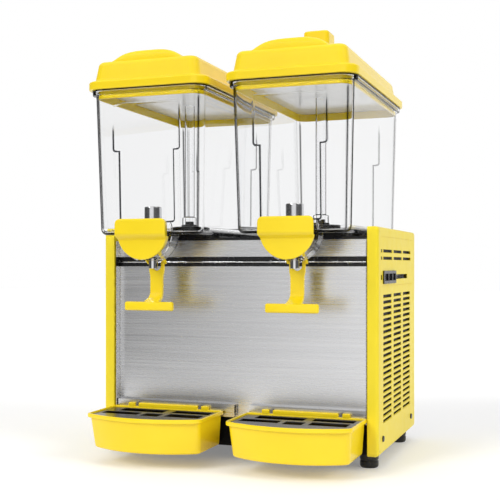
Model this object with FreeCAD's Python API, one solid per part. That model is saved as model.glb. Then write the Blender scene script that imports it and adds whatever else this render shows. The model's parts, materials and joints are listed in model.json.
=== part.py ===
import FreeCAD, Part
import math
import os

# Cold drink dispenser: two clear tanks side by side on a cooled cabinet, in millimetres.
# +Z is up from the floor, +X is to the right seen from the front, +Y is towards the back.
# The origin is on the floor, under the middle of the whole dispenser.

# Cabinet
CABINET_WIDTH = 430.0
CABINET_DEPTH = 280.0
CABINET_FRONT_Y = -85.0
SIDE_PANEL_HEIGHT = 323.5
SIDE_WALL = 2.5
SIDE_GROOVE = 1.0
SIDE_GROOVE_DEPTH = 0.8
LOWER_GROOVE_UP = 12.0
POST_WIDTH = 16.5
POST_EDGE_R = 5.0
PANEL_RECESS = 16.0
PANEL_GAP = 1.5
SHEET = 1.2
LOWER_PANEL_BOTTOM = 65.0
LOWER_PANEL_HEIGHT = 223.0
TRIM_HEIGHT = 14.5
TRIM_DEPTH = 5.0
TRIM_BEAD = 1.2
TRIM_BEAD_R = 1.1
TRIM_BEAD_SHARE = 0.45
DECK_THICKNESS = 4.0
DECK_BELOW_SIDE = 13.5
BAND_RETURN = 10.0
FLANGE_SETBACK = 3.5
DECK_LEDGE = 3.0
DECK_LEDGE_WIDTH = 8.0
DECK_NOSE = 2.0
KICK_RETURN = 10.0

# Feet and screws
FOOT_HEIGHT = 21.0
FOOT_R = 13.5
FOOT_INSET_X = 8.0
FOOT_INSET_FRONT = 37.0
FOOT_INSET_REAR = 33.0
FOOT_TAPER = 1.5
FOOT_STUD_R = 2.5
FOOT_STUD_LENGTH = 10.0
FOOT_SCREW_HEAD_R = 3.4
EAR_HALF = 6.0
SCREW_HEAD_R = 4.2
SCREW_HEAD_HEIGHT = 2.2
SCREW_EDGE_R = 0.8
SCREW_R = 2.0
SCREW_LENGTH = 6.0
SCREW_INSET = 28.0
SCREW_INSET_REAR = 35.0
SCREW_UP = 22.0

# Air slots in the side panels
LOUVRE_HEIGHT = 5.2
LOUVRE_PITCH = 8.5
LOUVRE_ROWS = 22
LOUVRE_TOP_DROP = 97.0
LOUVRE_FIRST_Y = 32.0
LOUVRE_LENGTH = 59.0
LOUVRE_STEP = 74.0
LOUVRE_COLUMNS = 3
TOP_VENT_HEIGHT = 4.8
TOP_VENT_PITCH = 10.4
TOP_VENT_ROWS = 2
TOP_VENT_DROP = 32.0
TOP_VENT_LENGTH = 64.0
SHORT_VENT_LENGTH = 9.0
SHORT_VENT_Y = 16.5

# Switches in the right side panel
SWITCH_PLATE_LENGTH = 87.0
SWITCH_PLATE_HEIGHT = 18.5
SWITCH_PLATE_START = 30.0
SWITCH_PLATE_DROP = 72.0
SWITCH_PLATE_PROUD = 2.0
SWITCH_FRAME = 2.5
SWITCH_COUNT = 3
SWITCH_DEPTH = 16.0
SWITCH_BACK = 2.0
SWITCH_GAP = 0.9
SWITCH_PITCH = 26.6
ROCKER_LENGTH = 23.0
ROCKER_HEIGHT = 9.6
ROCKER_RISE = 3.9
ROCKER_DIP = 3.0
ROCKER_BACK = 6.0
ROCKER_FOOT_SHARE = 0.7
ROCKER_PIN_R = 1.2
ROCKER_PIN_LENGTH = 1.3
ROCKER_TILT = 6.0
ROCKER_AXIS_IN = 5.0
FINGER_SLOT_LENGTH = 98.0
FINGER_SLOT_HEIGHT = 7.0

# Rear panel and power inlet
REAR_WALL_INSET = 3.4
REAR_PANEL_LAP = 8.0
REAR_SCREW_RISE = 130.0
REAR_SCREW_ROWS = 3
INLET_WIDTH = 48.0
INLET_HEIGHT = 28.0
INLET_DEPTH = 24.0
INLET_FLANGE = 2.2
INLET_X = -140.0
INLET_UP = 43.0
INLET_SOCKET_WIDTH = 26.0
INLET_SOCKET_HEIGHT = 17.0
INLET_PIN_R = 1.6
INLET_PIN_PITCH = 7.0
INLET_RIM = 5.0
REAR_VENT_ROWS = 14
REAR_VENT_PITCH = 12.0
REAR_VENT_LENGTH = 150.0
REAR_VENT_HEIGHT = 5.0
REAR_VENT_DROP = 40.0

# Tanks
TANK_PITCH = 216.3
TANK_TOP_WIDTH = 174.0
TANK_TOP_DEPTH = 324.0
TANK_BOTTOM_WIDTH = 163.0
TANK_BOTTOM_DEPTH = 312.0
TANK_BOTTOM_SHIFT = 2.0
TANK_TOP_R = 20.0
TANK_BOTTOM_R = 17.0
TANK_EDGE_R = 9.0
TANK_WALL = 3.0
TANK_FLOOR = 4.0
TANK_HEIGHT = 210.0
LIP_WIDTH = 5.0
LIP_HEIGHT = 6.0
RELIEF_DEPTH = 1.5
RELIEF_UPPER_HALF = 52.5
RELIEF_LOWER_HALF = 43.0
RELIEF_STEP_UP = 121.0
RELIEF_TOP_DOWN = 20.0
RELIEF_BOTTOM_UP = 18.0
SEAT_THICKNESS = 3.0
SEAT_FRONT = 6.0
SEAT_REAR = 10.0
SEAT_WIDTH = 144.0
SEAT_RUBBER = 7.0
SEAT_R = 14.0

# Pump and spray tube
PUMP_R = 30.0
PUMP_HEIGHT = 13.0
PUMP_WALL = 2.0
PUMP_TOP = 3.0
PUMP_COLLAR_R = 12.0
PUMP_COLLAR_HEIGHT = 14.0
PUMP_SPIGOT = 8.0
PUMP_DUCT_R = 4.5
PUMP_SLOT = 12.0
PUMP_SLOT_HEIGHT = 4.0
PUMP_SLOTS = 3
PIN_R = 3.0
PIN_LENGTH = 7.0
TUBE_R = 8.0
TUBE_WALL = 1.5
TUBE_TOP_ABOVE_SEAM = 24.0
IMPELLER_R = 24.0
IMPELLER_HUB_R = 6.0
IMPELLER_HEIGHT = 7.0
IMPELLER_DISC = 2.0
IMPELLER_BLADES = 6
IMPELLER_LIFT = 1.0
BLADE_THICKNESS = 2.0
DRIVER_R = 24.0
DRIVER_THICKNESS = 7.0
DRIVER_BELOW_TANK = 1.5
DRIVER_MAGNET_R = 4.0
DRIVER_MAGNETS = 4
DRIVER_MAGNET_RING = 15.0
DRIVER_HOLE_R = 27.0
DRIVER_HUB_R = 7.0
MOTOR_R = 32.0
MOTOR_HEIGHT = 46.0
MOTOR_SHAFT_R = 3.0
MOTOR_PLATE = 3.0
MOTOR_BORE = 14.0
MOTOR_DROP = 8.0
MOTOR_EAR = 12.0
MOTOR_STANDOFF_R = 4.0
MOTOR_STANDOFFS = 3

# Tap
TAP_SETBACK = 20.0
SLEEVE_R = 12.7
SLEEVE_BORE_R = 10.2
SLEEVE_HEIGHT = 37.0
SLEEVE_CAP = 2.0
SLEEVE_EDGE_R = 1.2
SLEEVE_PORT_WIDTH = 9.0
SLEEVE_PORT_HEIGHT = 6.0
NECK_R = 11.5
NECK_LENGTH = 37.0
NECK_BOTTOM = 3.0
NECK_BORE_R = 9.3
PISTON_ABOVE_FLOOR = 5.0
PISTON_CROWN = 3.0
PISTON_DUCT_R = 3.4
PISTON_INLET_R = 1.8
PISTON_INLET_DOWN = 4.6
PISTON_LIFT_GAP = 3.0
PISTON_WEB_HALF = 4.8
PISTON_WEB_GAP = 5.2
SEAL_SPACING = 9.5
WINDOW_HALF = 8.6
WINDOW_BACK = 3.5
WINDOW_DOWN = 3.5
WINDOW_UP = 9.5
PISTON_NOTCH_BELOW = 6.0
SEAL_SECTION_R = 1.0
SPRING_WIRE_R = 0.6
SPRING_R = 7.0
SPRING_TURNS = 6
NOZZLE_R = 6.5
NOZZLE_BORE_R = 4.5
NOZZLE_LENGTH = 12.0
NOZZLE_EDGE_R = 1.5
NOZZLE_SPIGOT_R = 6.0
BOSS_R = 41.0
BOSS_WALL = 2.5
BOSS_PROUD = 4.0
BOSS_DEPTH = 24.0
BOSS_RISE = 1.0
BOSS_CREST_DOWN = 3.0
BOSS_FLANGE_HALF = 36.0
BOSS_FLANGE_DEPTH = 38.0
PIVOT_AHEAD = 18.0
PIVOT_DOWN = 20.0
PIVOT_PIN_R = 2.5
PIVOT_EAR = 3.0
PIVOT_EAR_BACK = 6.5
COVER_WIDTH = 81.0
COVER_R = 39.4
COVER_DEPTH = 22.5
COVER_DISC_DEPTH = 15.0
COVER_SIDE_DRAFT = 7.5
COVER_DISC_DRAFT = 3.4
COVER_CREASE_DOWN = 8.0
COVER_SLOPE_RISE = 6.0
COVER_BRIDGE_HALF = 20.0
COVER_TOP_UP = 22.0
COVER_BLOCK_R = 8.0
COVER_EDGE_R = 3.0
COVER_ARC_RISE = 2.4
COVER_WALL = 2.5

# Lever
LEVER_HUB_R = 4.6
LEVER_FORK_GAP = 15.0
LEVER_PRONG = 4.0
LEVER_PRONG_THICKNESS = 5.0
LEVER_YOKE_HALF = 15.2
LEVER_YOKE_PLATE = 3.0
LEVER_YOKE_DROP = 20.0
LEVER_SLOT_HALF = 15.7
LEVER_SLOT_GAP = 2.0
LEVER_SHOULDER = 6.0
LEVER_KNEE_DROP = 71.0
LEVER_BAR_DROP = 83.5
LEVER_TIP_OUT = 8.0
LEVER_ARM_WIDTH = 19.5
LEVER_ARM_THICKNESS = 5.0
LEVER_ARM_BACK = 12.5
LEVER_TIP_R = 2.5
LEVER_FORK_DROP = 33.0
BAR_WIDTH = 77.0
BAR_HEIGHT = 13.0
BAR_THICKNESS = 7.0
BAR_AHEAD = 14.0
BAR_R = 3.0

# Lids
LID_WIDTH = 190.0
LID_DEPTH = 340.0
LID_R = 22.0
LID_RIM_HEIGHT = 12.5
LID_BOX_SETBACK = 12.0
LID_BOX_SETBACK_FRONT = 4.0
LID_BOX_SETBACK_REAR = 8.0
LID_RIM_EDGE_R = 2.5
LID_BOX_HEIGHT = 29.0
LID_BOX_R = 14.0
LID_BOX_DRAFT = 3.0
LID_EDGE_R = 8.0
LID_WALL = 2.5
LID_SKIRT = 11.0
LID_SKIRT_GAP = 0.5
LID_SKIRT_WALL = 2.5
CROWN_HALF = 48.0
CROWN_RISE = 13.5
CROWN_SETBACK = 8.0
CROWN_POWER = 3.5
CROWN_SHARES = (-1, -0.92, -0.8, -0.6, -0.3, 0, 0.3, 0.6, 0.8, 0.92, 1)
KNOB_WIDTH = 40.0
KNOB_DEPTH = 42.0
KNOB_CENTRE_Y = -10.0
KNOB_TOP_UP = 52.0
KNOB_SIDES = ("right",)
KNOB_R = 8.0
KNOB_EDGE_R = 3.0
LINER_THICKNESS = 2.0
LINER_INSET = 11.6
LID_SEAL_HEIGHT = 1.5
LID_SEAL_WIDTH = 5.0

# Drip trays
TRAY_WIDTH = 180.0
TRAY_HEIGHT = 51.5
TRAY_BOTTOM_Z = 23.0
TRAY_REAR_Y = -79.0
TRAY_WALL_REAR_Y = -83.0
TRAY_APEX_Y = -195.0
TRAY_CORNER_Y = -170.5
TRAY_FOOT_R = 4.0
TRAY_SHELF = 3.0
TRAY_BAR_HALF = 66.0
TRAY_BAR_RISE = 5.5
TRAY_BAR_PLATE = 3.0
TRAY_TONGUE = 1.9
TRAY_TONGUE_DROP = 5.0
TRAY_BUFFER = 8.0
TRAY_CORNER_R = 5.0
TRAY_DRAFT_X = 3.5
TRAY_DRAFT_FRONT = 9.0
TRAY_WALL = 2.5
TRAY_RIM = 3.0
TRAY_RIM_HEIGHT = 6.0
GRATE_DROP = 2.5
GRATE_THICKNESS = 2.0
GRATE_GAP = 0.5
GRATE_SLOT_R = 2.5
GRATE_SLOTS = ((-66, 6, 5, 31), (18, 78, 5, 28), (-80, -22, 39, 60), (-14, 14, 41, 66), (22, 76, 36, 62))
HOOK_WIDTH = 3.0
HOOK_LENGTH = 20.0
HOOK_OFFSET = 51.75
HOOK_SHEET = 1.5
HOOK_UP = 3.0
HOOK_RISE = 4.0
TRAY_NOTCH = 5.5

# Tray brackets
BRACKET_HEIGHT = 19.0
BRACKET_DEPTH = 9.5
BRACKET_LEFT_END = -3.0
BRACKET_RIGHT_START = 21.0
BRACKET_OUTER_GAP = 2.0

# Refrigeration
COMPRESSOR_R = 58.0
COMPRESSOR_HEIGHT = 128.0
COMPRESSOR_X = -95.0
COMPRESSOR_Y = 60.0
COMPRESSOR_DOME_R = 18.0
COMPRESSOR_FOOT = 10.0
COMPRESSOR_PLATE = 3.0
COMPRESSOR_PAD_R = 12.0
COMPRESSOR_PAD_X = 62.0
COMPRESSOR_PAD_Y = 62.0
COMPRESSOR_BAND = 2.0
COMPRESSOR_BAND_UP = 70.0
CONDENSER_WIDTH = 24.0
CONDENSER_LENGTH = 190.0
CONDENSER_HEIGHT = 170.0
CONDENSER_X = 160.0
CONDENSER_FINS = 30
CONDENSER_FIN_DEPTH = 3.0
CONDENSER_UP = 9.0
CONDENSER_EDGE = 6.0
SHROUD_THICKNESS = 4.0
SHROUD_HOLE_R = 74.0
FAN_R = 70.0
FAN_HUB_R = 20.0
FAN_DEPTH = 16.0
FAN_BLADES = 5
FAN_BLADE_THICKNESS = 1.6
FAN_BLADE_TILT = 28.0
FAN_BLADE_CHORD = 27.2
FAN_BLADE_ROOT = 4.0
FAN_SHAFT_R = 3.0
FAN_MOTOR_R = 30.0
FAN_MOTOR_LENGTH = 34.0
FAN_MOTOR_GAP = 4.0
FAN_BRACKET = 4.0
PIPE_R = 3.2
STUB_LENGTH = 12.0
STUB_SPREAD = 20.0
STUB_UP = 102.0
STUB_WALL = 1.0
PIPE_CLEAR = 9.6
PIPE_PITCH = 16.0
PIPE_INSET = 12.8

# Rounding of tapering shapes, and how near two places count as one
EDGE_STEPS = 5
NEAR = 0.01

# Running clearances
RUN_GAP = 0.3
SMALL_GAP = 0.15
SHAFT_GAP = 0.05

# Worked out from the driving sizes
HALF_WIDTH = CABINET_WIDTH / 2
REAR_WALL_Y = CABINET_FRONT_Y + CABINET_DEPTH - REAR_WALL_INSET
CABINET_REAR_Y = CABINET_FRONT_Y + CABINET_DEPTH
BASE_Z = FOOT_HEIGHT
SIDE_TOP_Z = BASE_Z + SIDE_PANEL_HEIGHT
INNER_X = HALF_WIDTH - POST_WIDTH
PANEL_Y = CABINET_FRONT_Y + PANEL_RECESS
PANEL_HALF = INNER_X - PANEL_GAP
DECK_TOP_Z = SIDE_TOP_Z - DECK_BELOW_SIDE
DECK_BOTTOM_Z = DECK_TOP_Z - DECK_THICKNESS
TRIM_BOTTOM_Z = LOWER_PANEL_BOTTOM + LOWER_PANEL_HEIGHT
TRIM_TOP_Z = TRIM_BOTTOM_Z + TRIM_HEIGHT
TANK_BOTTOM_Z = DECK_TOP_Z + SEAT_THICKNESS
TANK_FLOOR_Z = TANK_BOTTOM_Z + TANK_FLOOR
SEAM_Z = TANK_BOTTOM_Z + TANK_HEIGHT
RIM_Z = SEAM_Z + LID_SEAL_HEIGHT
TANK_XS = (-TANK_PITCH / 2, TANK_PITCH / 2)
SIDES = ("left", "right")
LID_BOX_WIDTH = LID_WIDTH - 2 * LID_BOX_SETBACK
LID_BOX_FRONT_Y = -LID_DEPTH / 2 + LID_BOX_SETBACK_FRONT
LID_BOX_REAR_Y = LID_DEPTH / 2 - LID_BOX_SETBACK_REAR
LID_BOX_DEPTH = LID_BOX_REAR_Y - LID_BOX_FRONT_Y
LID_BOX_MID_Y = (LID_BOX_REAR_Y + LID_BOX_FRONT_Y) / 2
BOX_Z = RIM_Z + LID_RIM_HEIGHT
CROWN_Z = BOX_Z + LID_BOX_HEIGHT
KNOB_TOP_Z = CROWN_Z + KNOB_TOP_UP
TRAY_TOP_Z = TRAY_BOTTOM_Z + TRAY_HEIGHT
GRATE_TOP_Z = TRAY_TOP_Z - GRATE_DROP
TANK_FRONT_Y = TANK_BOTTOM_SHIFT - TANK_BOTTOM_DEPTH / 2
TAP_Y = TANK_FRONT_Y + TAP_SETBACK
BOSS_FRONT_Y = TANK_FRONT_Y - BOSS_PROUD
PIVOT_Y = TAP_Y - PIVOT_AHEAD
PIVOT_Z = TANK_BOTTOM_Z - PIVOT_DOWN
COVER_FACE_Y = BOSS_FRONT_Y - COVER_DEPTH
COVER_DISC_Y = BOSS_FRONT_Y - COVER_DISC_DEPTH
LEVER_ARM_Y = TAP_Y + LEVER_ARM_BACK
BAR_Y = TAP_Y - BAR_AHEAD
PISTON_R = NECK_BORE_R - SHAFT_GAP
NECK_BOTTOM_Z = TANK_BOTTOM_Z - NECK_LENGTH
PUMP_TOP_Z = TANK_FLOOR_Z + PUMP_HEIGHT

X_AXIS = FreeCAD.Vector(1, 0, 0)
Y_AXIS = FreeCAD.Vector(0, 1, 0)
Z_AXIS = FreeCAD.Vector(0, 0, 1)


def point(x, y, z):
    return FreeCAD.Vector(x, y, z)


def block(x0, x1, y0, y1, z0, z1):
    """A box between two corners."""
    return Part.makeBox(x1 - x0, y1 - y0, z1 - z0, point(x0, y0, z0))


def rod_z(x, y, z0, z1, radius):
    return Part.makeCylinder(radius, z1 - z0, point(x, y, z0), Z_AXIS)


def rod_x(x0, x1, y, z, radius):
    return Part.makeCylinder(radius, x1 - x0, point(x0, y, z), X_AXIS)


def rod_y(x, y0, y1, z, radius):
    return Part.makeCylinder(radius, y1 - y0, point(x, y0, z), Y_AXIS)


def polygon_prism(points, direction):
    """A flat closed outline of straight lines, pushed along a direction."""
    face = Part.Face(Part.makePolygon(points + [points[0]]))
    return face.extrude(direction)


def rounded_wire(x, y, z, width, depth, radius):
    """A level rectangle with round corners, centred on x and y."""
    half_w = width / 2
    half_d = depth / 2
    k = radius * (1 - math.sqrt(0.5))
    edges = []
    corners = ((1, 1), (-1, 1), (-1, -1), (1, -1))
    for index, (sx, sy) in enumerate(corners):
        along_x = point(x + sx * (half_w - radius), y + sy * half_d, z)
        along_y = point(x + sx * half_w, y + sy * (half_d - radius), z)
        middle = point(x + sx * (half_w - k), y + sy * (half_d - k), z)
        first, last = (along_y, along_x) if index % 2 == 0 else (along_x, along_y)
        edges.append(Part.Arc(first, middle, last).toShape())
        nx, ny = corners[(index + 1) % 4]
        if index % 2 == 0:
            after = point(x + nx * (half_w - radius), y + ny * half_d, z)
        else:
            after = point(x + nx * half_w, y + ny * (half_d - radius), z)
        edges.append(Part.LineSegment(last, after).toShape())
    return Part.Wire(edges)


def rounded_block(x, y, z0, z1, width, depth, radius):
    """An upright block with round vertical corners."""
    face = Part.Face(rounded_wire(x, y, z0, width, depth, radius))
    return face.extrude(point(0, 0, z1 - z0))


def rounded_loft(x, sections):
    """A tapering block through level rectangles, each given as y, z, width, depth, radius."""
    wires = [rounded_wire(x, y, z, width, depth, radius) for y, z, width, depth, radius in sections]
    return Part.makeLoft(wires, True, True)


def edge_sections(y, z, width, depth, radius, edge_r, sign):
    """Level sections that round off an end at z: sign is 1 for a top end and -1 for a bottom end."""
    sections = []
    for step in range(EDGE_STEPS + 1):
        angle = math.pi / 2 * step / EDGE_STEPS
        inset = edge_r * (1 - math.cos(angle))
        rise = edge_r * math.sin(angle)
        sections.append((y, z - sign * (edge_r - rise), width - 2 * inset, depth - 2 * inset, radius - inset))
    return sections if sign > 0 else sections[::-1]


def edges_at_height(shape, z):
    """All edges that lie level at height z."""
    chosen = []
    for edge in shape.Edges:
        box = edge.BoundBox
        if abs(box.ZMin - z) < NEAR and abs(box.ZMax - z) < NEAR:
            chosen.append(edge)
    return chosen


def join(shapes):
    result = shapes[0]
    if len(shapes) > 1:
        result = result.fuse(shapes[1:])
    return result.removeSplitter()


def cut(shape, tools):
    return shape.cut(Part.makeCompound(tools)) if len(tools) > 1 else shape.cut(tools[0])


def mirror_x(shape):
    return shape.mirror(point(0, 0, 0), X_AXIS)


def save(node, shape):
    """Write one node as STEP, after a check that each of its solids is closed and valid."""
    if not shape.isValid() or not shape.Solids:
        raise ValueError("the shape of " + node + " is not valid")
    if len(shape.Solids) == 1:
        shape = shape.Solids[0]
    shape.exportStep("parts/" + node + ".step")
    print(node, len(shape.Solids), round(shape.Volume))


# Cabinet shells

def side_slots(outer_x):
    """Cutters for the air slots in a side panel whose outer face is at outer_x, opening along X."""
    x0 = outer_x - SIDE_WALL - 1
    x1 = outer_x + 1
    cutters = []
    for row in range(LOUVRE_ROWS):
        z1 = SIDE_TOP_Z - LOUVRE_TOP_DROP - row * LOUVRE_PITCH
        for column in range(LOUVRE_COLUMNS):
            y0 = CABINET_FRONT_Y + LOUVRE_FIRST_Y + column * LOUVRE_STEP
            cutters.append(block(x0, x1, y0, y0 + LOUVRE_LENGTH, z1 - LOUVRE_HEIGHT, z1))
    for row in range(TOP_VENT_ROWS):
        z1 = SIDE_TOP_Z - TOP_VENT_DROP - row * TOP_VENT_PITCH
        y0 = CABINET_FRONT_Y + SHORT_VENT_Y
        cutters.append(block(x0, x1, y0, y0 + SHORT_VENT_LENGTH, z1 - TOP_VENT_HEIGHT, z1))
        for column in range(LOUVRE_COLUMNS):
            y0 = CABINET_FRONT_Y + LOUVRE_FIRST_Y + column * LOUVRE_STEP
            cutters.append(block(x0, x1, y0, y0 + TOP_VENT_LENGTH, z1 - TOP_VENT_HEIGHT, z1))
    return cutters


def panel_grooves(outer_x):
    """Two fine level grooves pressed into the outer face of a side panel."""
    y0 = CABINET_FRONT_Y + SHORT_VENT_Y
    y1 = CABINET_REAR_Y - SCREW_INSET
    lows = (SIDE_TOP_Z - DECK_BELOW_SIDE - SIDE_GROOVE, SIDE_TOP_Z - LOUVRE_TOP_DROP + LOWER_GROOVE_UP)
    return [block(outer_x - SIDE_GROOVE_DEPTH, outer_x + 1, y0, y1, z, z + SIDE_GROOVE) for z in lows]


def side_shell():
    """The right side panel: a moulded shell, open towards the inside, with a folded front post."""
    outer = block(INNER_X, HALF_WIDTH, CABINET_FRONT_Y, CABINET_REAR_Y, BASE_Z, SIDE_TOP_Z)
    round_edges = []
    for edge in outer.Edges:
        box = edge.BoundBox
        at_outer = abs(box.XMin - HALF_WIDTH) < NEAR and abs(box.XMax - HALF_WIDTH) < NEAR
        at_front = abs(box.YMax - CABINET_FRONT_Y) < NEAR
        at_end = abs(box.ZMin - SIDE_TOP_Z) < NEAR or abs(box.ZMax - BASE_Z) < NEAR
        if at_outer and (at_front or at_end):
            round_edges.append(edge)
    outer = outer.makeFillet(POST_EDGE_R, round_edges)
    skin_x = HALF_WIDTH - SIDE_WALL
    inner_z0 = BASE_Z + SIDE_WALL
    inner_z1 = SIDE_TOP_Z - SIDE_WALL
    front_y = CABINET_FRONT_Y + SIDE_WALL
    hollow = block(INNER_X - 1, skin_x, front_y, REAR_WALL_Y - SIDE_WALL, inner_z0, inner_z1)
    rear_recess = block(INNER_X - 1, skin_x, REAR_WALL_Y, CABINET_REAR_Y + 1, inner_z0, inner_z1)
    shell = outer.cut(hollow).cut(rear_recess)
    post_end = PANEL_Y + TRIM_DEPTH
    inner_return = block(INNER_X, INNER_X + SIDE_WALL, front_y, post_end, inner_z0, inner_z1)
    rail_z = DECK_BOTTOM_Z - DECK_LEDGE
    rail = block(INNER_X, INNER_X + SIDE_WALL, post_end, REAR_WALL_Y - SIDE_WALL, rail_z, inner_z1)
    ledge = block(INNER_X - DECK_LEDGE_WIDTH, INNER_X + SIDE_WALL, post_end + BAND_RETURN,
                  REAR_WALL_Y - SIDE_WALL, rail_z, DECK_BOTTOM_Z)
    return join([shell, inner_return, rail, ledge])


def switch_opening():
    """The cut-out in the right side panel that the switch plate's body passes through."""
    y0 = CABINET_FRONT_Y + SWITCH_PLATE_START + SWITCH_FRAME
    y1 = y0 + SWITCH_PLATE_LENGTH - 2 * SWITCH_FRAME
    z1 = SIDE_TOP_Z - SWITCH_PLATE_DROP + SWITCH_PLATE_HEIGHT / 2 - SWITCH_FRAME
    z0 = z1 - SWITCH_PLATE_HEIGHT + 2 * SWITCH_FRAME
    return y0, y1, z0, z1


def finger_slot():
    """A long slot behind the switch plate, and its short piece in front of the plate."""
    z_mid = SIDE_TOP_Z - SWITCH_PLATE_DROP
    z0 = z_mid - FINGER_SLOT_HEIGHT / 2
    z1 = z_mid + FINGER_SLOT_HEIGHT / 2
    plate_end = CABINET_FRONT_Y + SWITCH_PLATE_START + SWITCH_PLATE_LENGTH
    x0 = HALF_WIDTH - SIDE_WALL - 1
    long_part = block(x0, HALF_WIDTH + 1, plate_end + SWITCH_FRAME, plate_end + FINGER_SLOT_LENGTH, z0, z1)
    front = CABINET_FRONT_Y + SHORT_VENT_Y
    short_part = block(x0, HALF_WIDTH + 1, front, front + SHORT_VENT_LENGTH, z0, z1)
    return [long_part, short_part]


def screw_places():
    """Side-screw positions as y and z, near the bottom of a side panel and near its top at the back."""
    front_y = CABINET_FRONT_Y + SCREW_INSET
    rear_y = CABINET_REAR_Y - SCREW_INSET_REAR
    low_z = BASE_Z + SCREW_UP
    return ((front_y, low_z), (rear_y, low_z))


def rear_screw_heights():
    return [BASE_Z + SCREW_INSET + index * REAR_SCREW_RISE for index in range(REAR_SCREW_ROWS)]


def rear_screw_x():
    return INNER_X + REAR_PANEL_LAP / 2


def screw_holes():
    """Clearance holes for the screws in a side panel's skin and in its rear wall."""
    radius = SCREW_R + RUN_GAP
    skin = [rod_x(HALF_WIDTH - SIDE_WALL - 1, HALF_WIDTH + 1, y, z, radius) for y, z in screw_places()]
    rear_y = REAR_WALL_Y
    x = rear_screw_x()
    rear = [rod_y(x, rear_y - SIDE_WALL - 1, rear_y + 1, z, SCREW_R) for z in rear_screw_heights()]
    return skin + rear


def make_side_panels():
    shell = side_shell()
    common_cuts = side_slots(HALF_WIDTH) + panel_grooves(HALF_WIDTH) + screw_holes()
    y0, y1, z0, z1 = switch_opening()
    switch_cut = block(HALF_WIDTH - SIDE_WALL - 1, HALF_WIDTH + 1, y0, y1, z0, z1)
    save("right_side_panel", cut(shell, common_cuts + finger_slot() + [switch_cut]))
    save("left_side_panel", mirror_x(cut(shell, common_cuts)))


def make_front():
    """The stainless lower panel and the band above it, folded forward beside the posts, and the dark trim."""
    y0 = CABINET_FRONT_Y + FLANGE_SETBACK
    y1 = PANEL_Y + SHEET
    y2 = PANEL_Y + BAND_RETURN
    lower = block(-PANEL_HALF, PANEL_HALF, PANEL_Y, y1, LOWER_PANEL_BOTTOM, TRIM_BOTTOM_Z)
    top_return = block(-PANEL_HALF, PANEL_HALF, y1, y2, TRIM_BOTTOM_Z - SHEET, TRIM_BOTTOM_Z)
    low_flange = block(-PANEL_HALF, SHEET - PANEL_HALF, y0, y1, LOWER_PANEL_BOTTOM, TRIM_BOTTOM_Z)
    band = block(-PANEL_HALF, PANEL_HALF, PANEL_Y, y1, TRIM_TOP_Z, DECK_BOTTOM_Z)
    band_return = block(-PANEL_HALF, PANEL_HALF, y1, y2, DECK_BOTTOM_Z - SHEET, DECK_BOTTOM_Z)
    high_flange = block(-PANEL_HALF, SHEET - PANEL_HALF, y0, y1, TRIM_TOP_Z, DECK_BOTTOM_Z)
    panel = join([lower, top_return, low_flange, mirror_x(low_flange)])
    upper = join([band, band_return, high_flange, mirror_x(high_flange)])
    save("front_panels", Part.makeCompound([panel, upper]))
    trim_leg = block(-PANEL_HALF, SHEET - PANEL_HALF, y0, PANEL_Y, TRIM_BOTTOM_Z, TRIM_TOP_Z)
    strip = block(-PANEL_HALF, PANEL_HALF, PANEL_Y, PANEL_Y + TRIM_DEPTH, TRIM_BOTTOM_Z, TRIM_TOP_Z)
    bead_z = TRIM_BOTTOM_Z + TRIM_HEIGHT * TRIM_BEAD_SHARE
    bead = rod_x(-PANEL_HALF, PANEL_HALF, PANEL_Y + TRIM_BEAD_R - TRIM_BEAD, bead_z, TRIM_BEAD_R)
    save("front_trim", join([strip, bead, trim_leg, mirror_x(trim_leg)]))


def make_deck():
    """The black deck that both tanks stand on, with a round hole for each magnet drive."""
    half = INNER_X - RUN_GAP
    deck = block(-half, half, PANEL_Y - DECK_NOSE, REAR_WALL_Y, DECK_BOTTOM_Z, DECK_TOP_Z)
    holes = [rod_z(x, 0, DECK_BOTTOM_Z - 1, DECK_TOP_Z + 1, DRIVER_HOLE_R) for x in TANK_XS]
    save("deck_plate", cut(deck, holes))


def pan_ears():
    """Angle tabs of the base pan that the side-panel screws bite into, on the right side."""
    ears = []
    floor_half = INNER_X - RUN_GAP
    z0 = BASE_Z + SIDE_WALL
    wall_x = HALF_WIDTH - SIDE_WALL
    for y, z in screw_places():
        y0 = y - EAR_HALF
        y1 = y + EAR_HALF
        tab = block(floor_half, wall_x, y0, y1, z0, z0 + SHEET)
        ear = block(wall_x - SHEET, wall_x, y0, y1, z0, z + SCREW_HEAD_R + SHEET)
        stem = block(floor_half - SHEET, floor_half, y0, y1, BASE_Z, z0 + SHEET)
        hole = rod_x(wall_x - SHEET - 1, wall_x + 1, y, z, SCREW_R)
        ears.append(join([tab, ear, stem]).cut(hole))
    return ears


def make_base():
    """The folded base pan with a black kick strip in front and a low flange at the back."""
    half = INNER_X - RUN_GAP
    pan = block(-half, half, PANEL_Y, REAR_WALL_Y, BASE_Z, BASE_Z + SHEET)
    kick = block(-PANEL_HALF, PANEL_HALF, PANEL_Y, PANEL_Y + SHEET, BASE_Z, LOWER_PANEL_BOTTOM)
    flange = block(-half, half, REAR_WALL_Y - SHEET, REAR_WALL_Y, BASE_Z, BASE_Z + KICK_RETURN)
    ears = pan_ears()
    pan = join([pan, kick, flange] + ears + [mirror_x(ear) for ear in ears])
    holes = [rod_z(x, y, BASE_Z - 1, BASE_Z + SHEET + 1, FOOT_STUD_R) for x, y in foot_places()]
    save("base_pan", cut(pan, holes))


def foot_places():
    x = HALF_WIDTH - FOOT_INSET_X - FOOT_R
    front = CABINET_FRONT_Y + FOOT_INSET_FRONT
    rear = CABINET_REAR_Y - FOOT_INSET_REAR
    return [(-x, front), (x, front), (-x, rear), (x, rear)]


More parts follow.
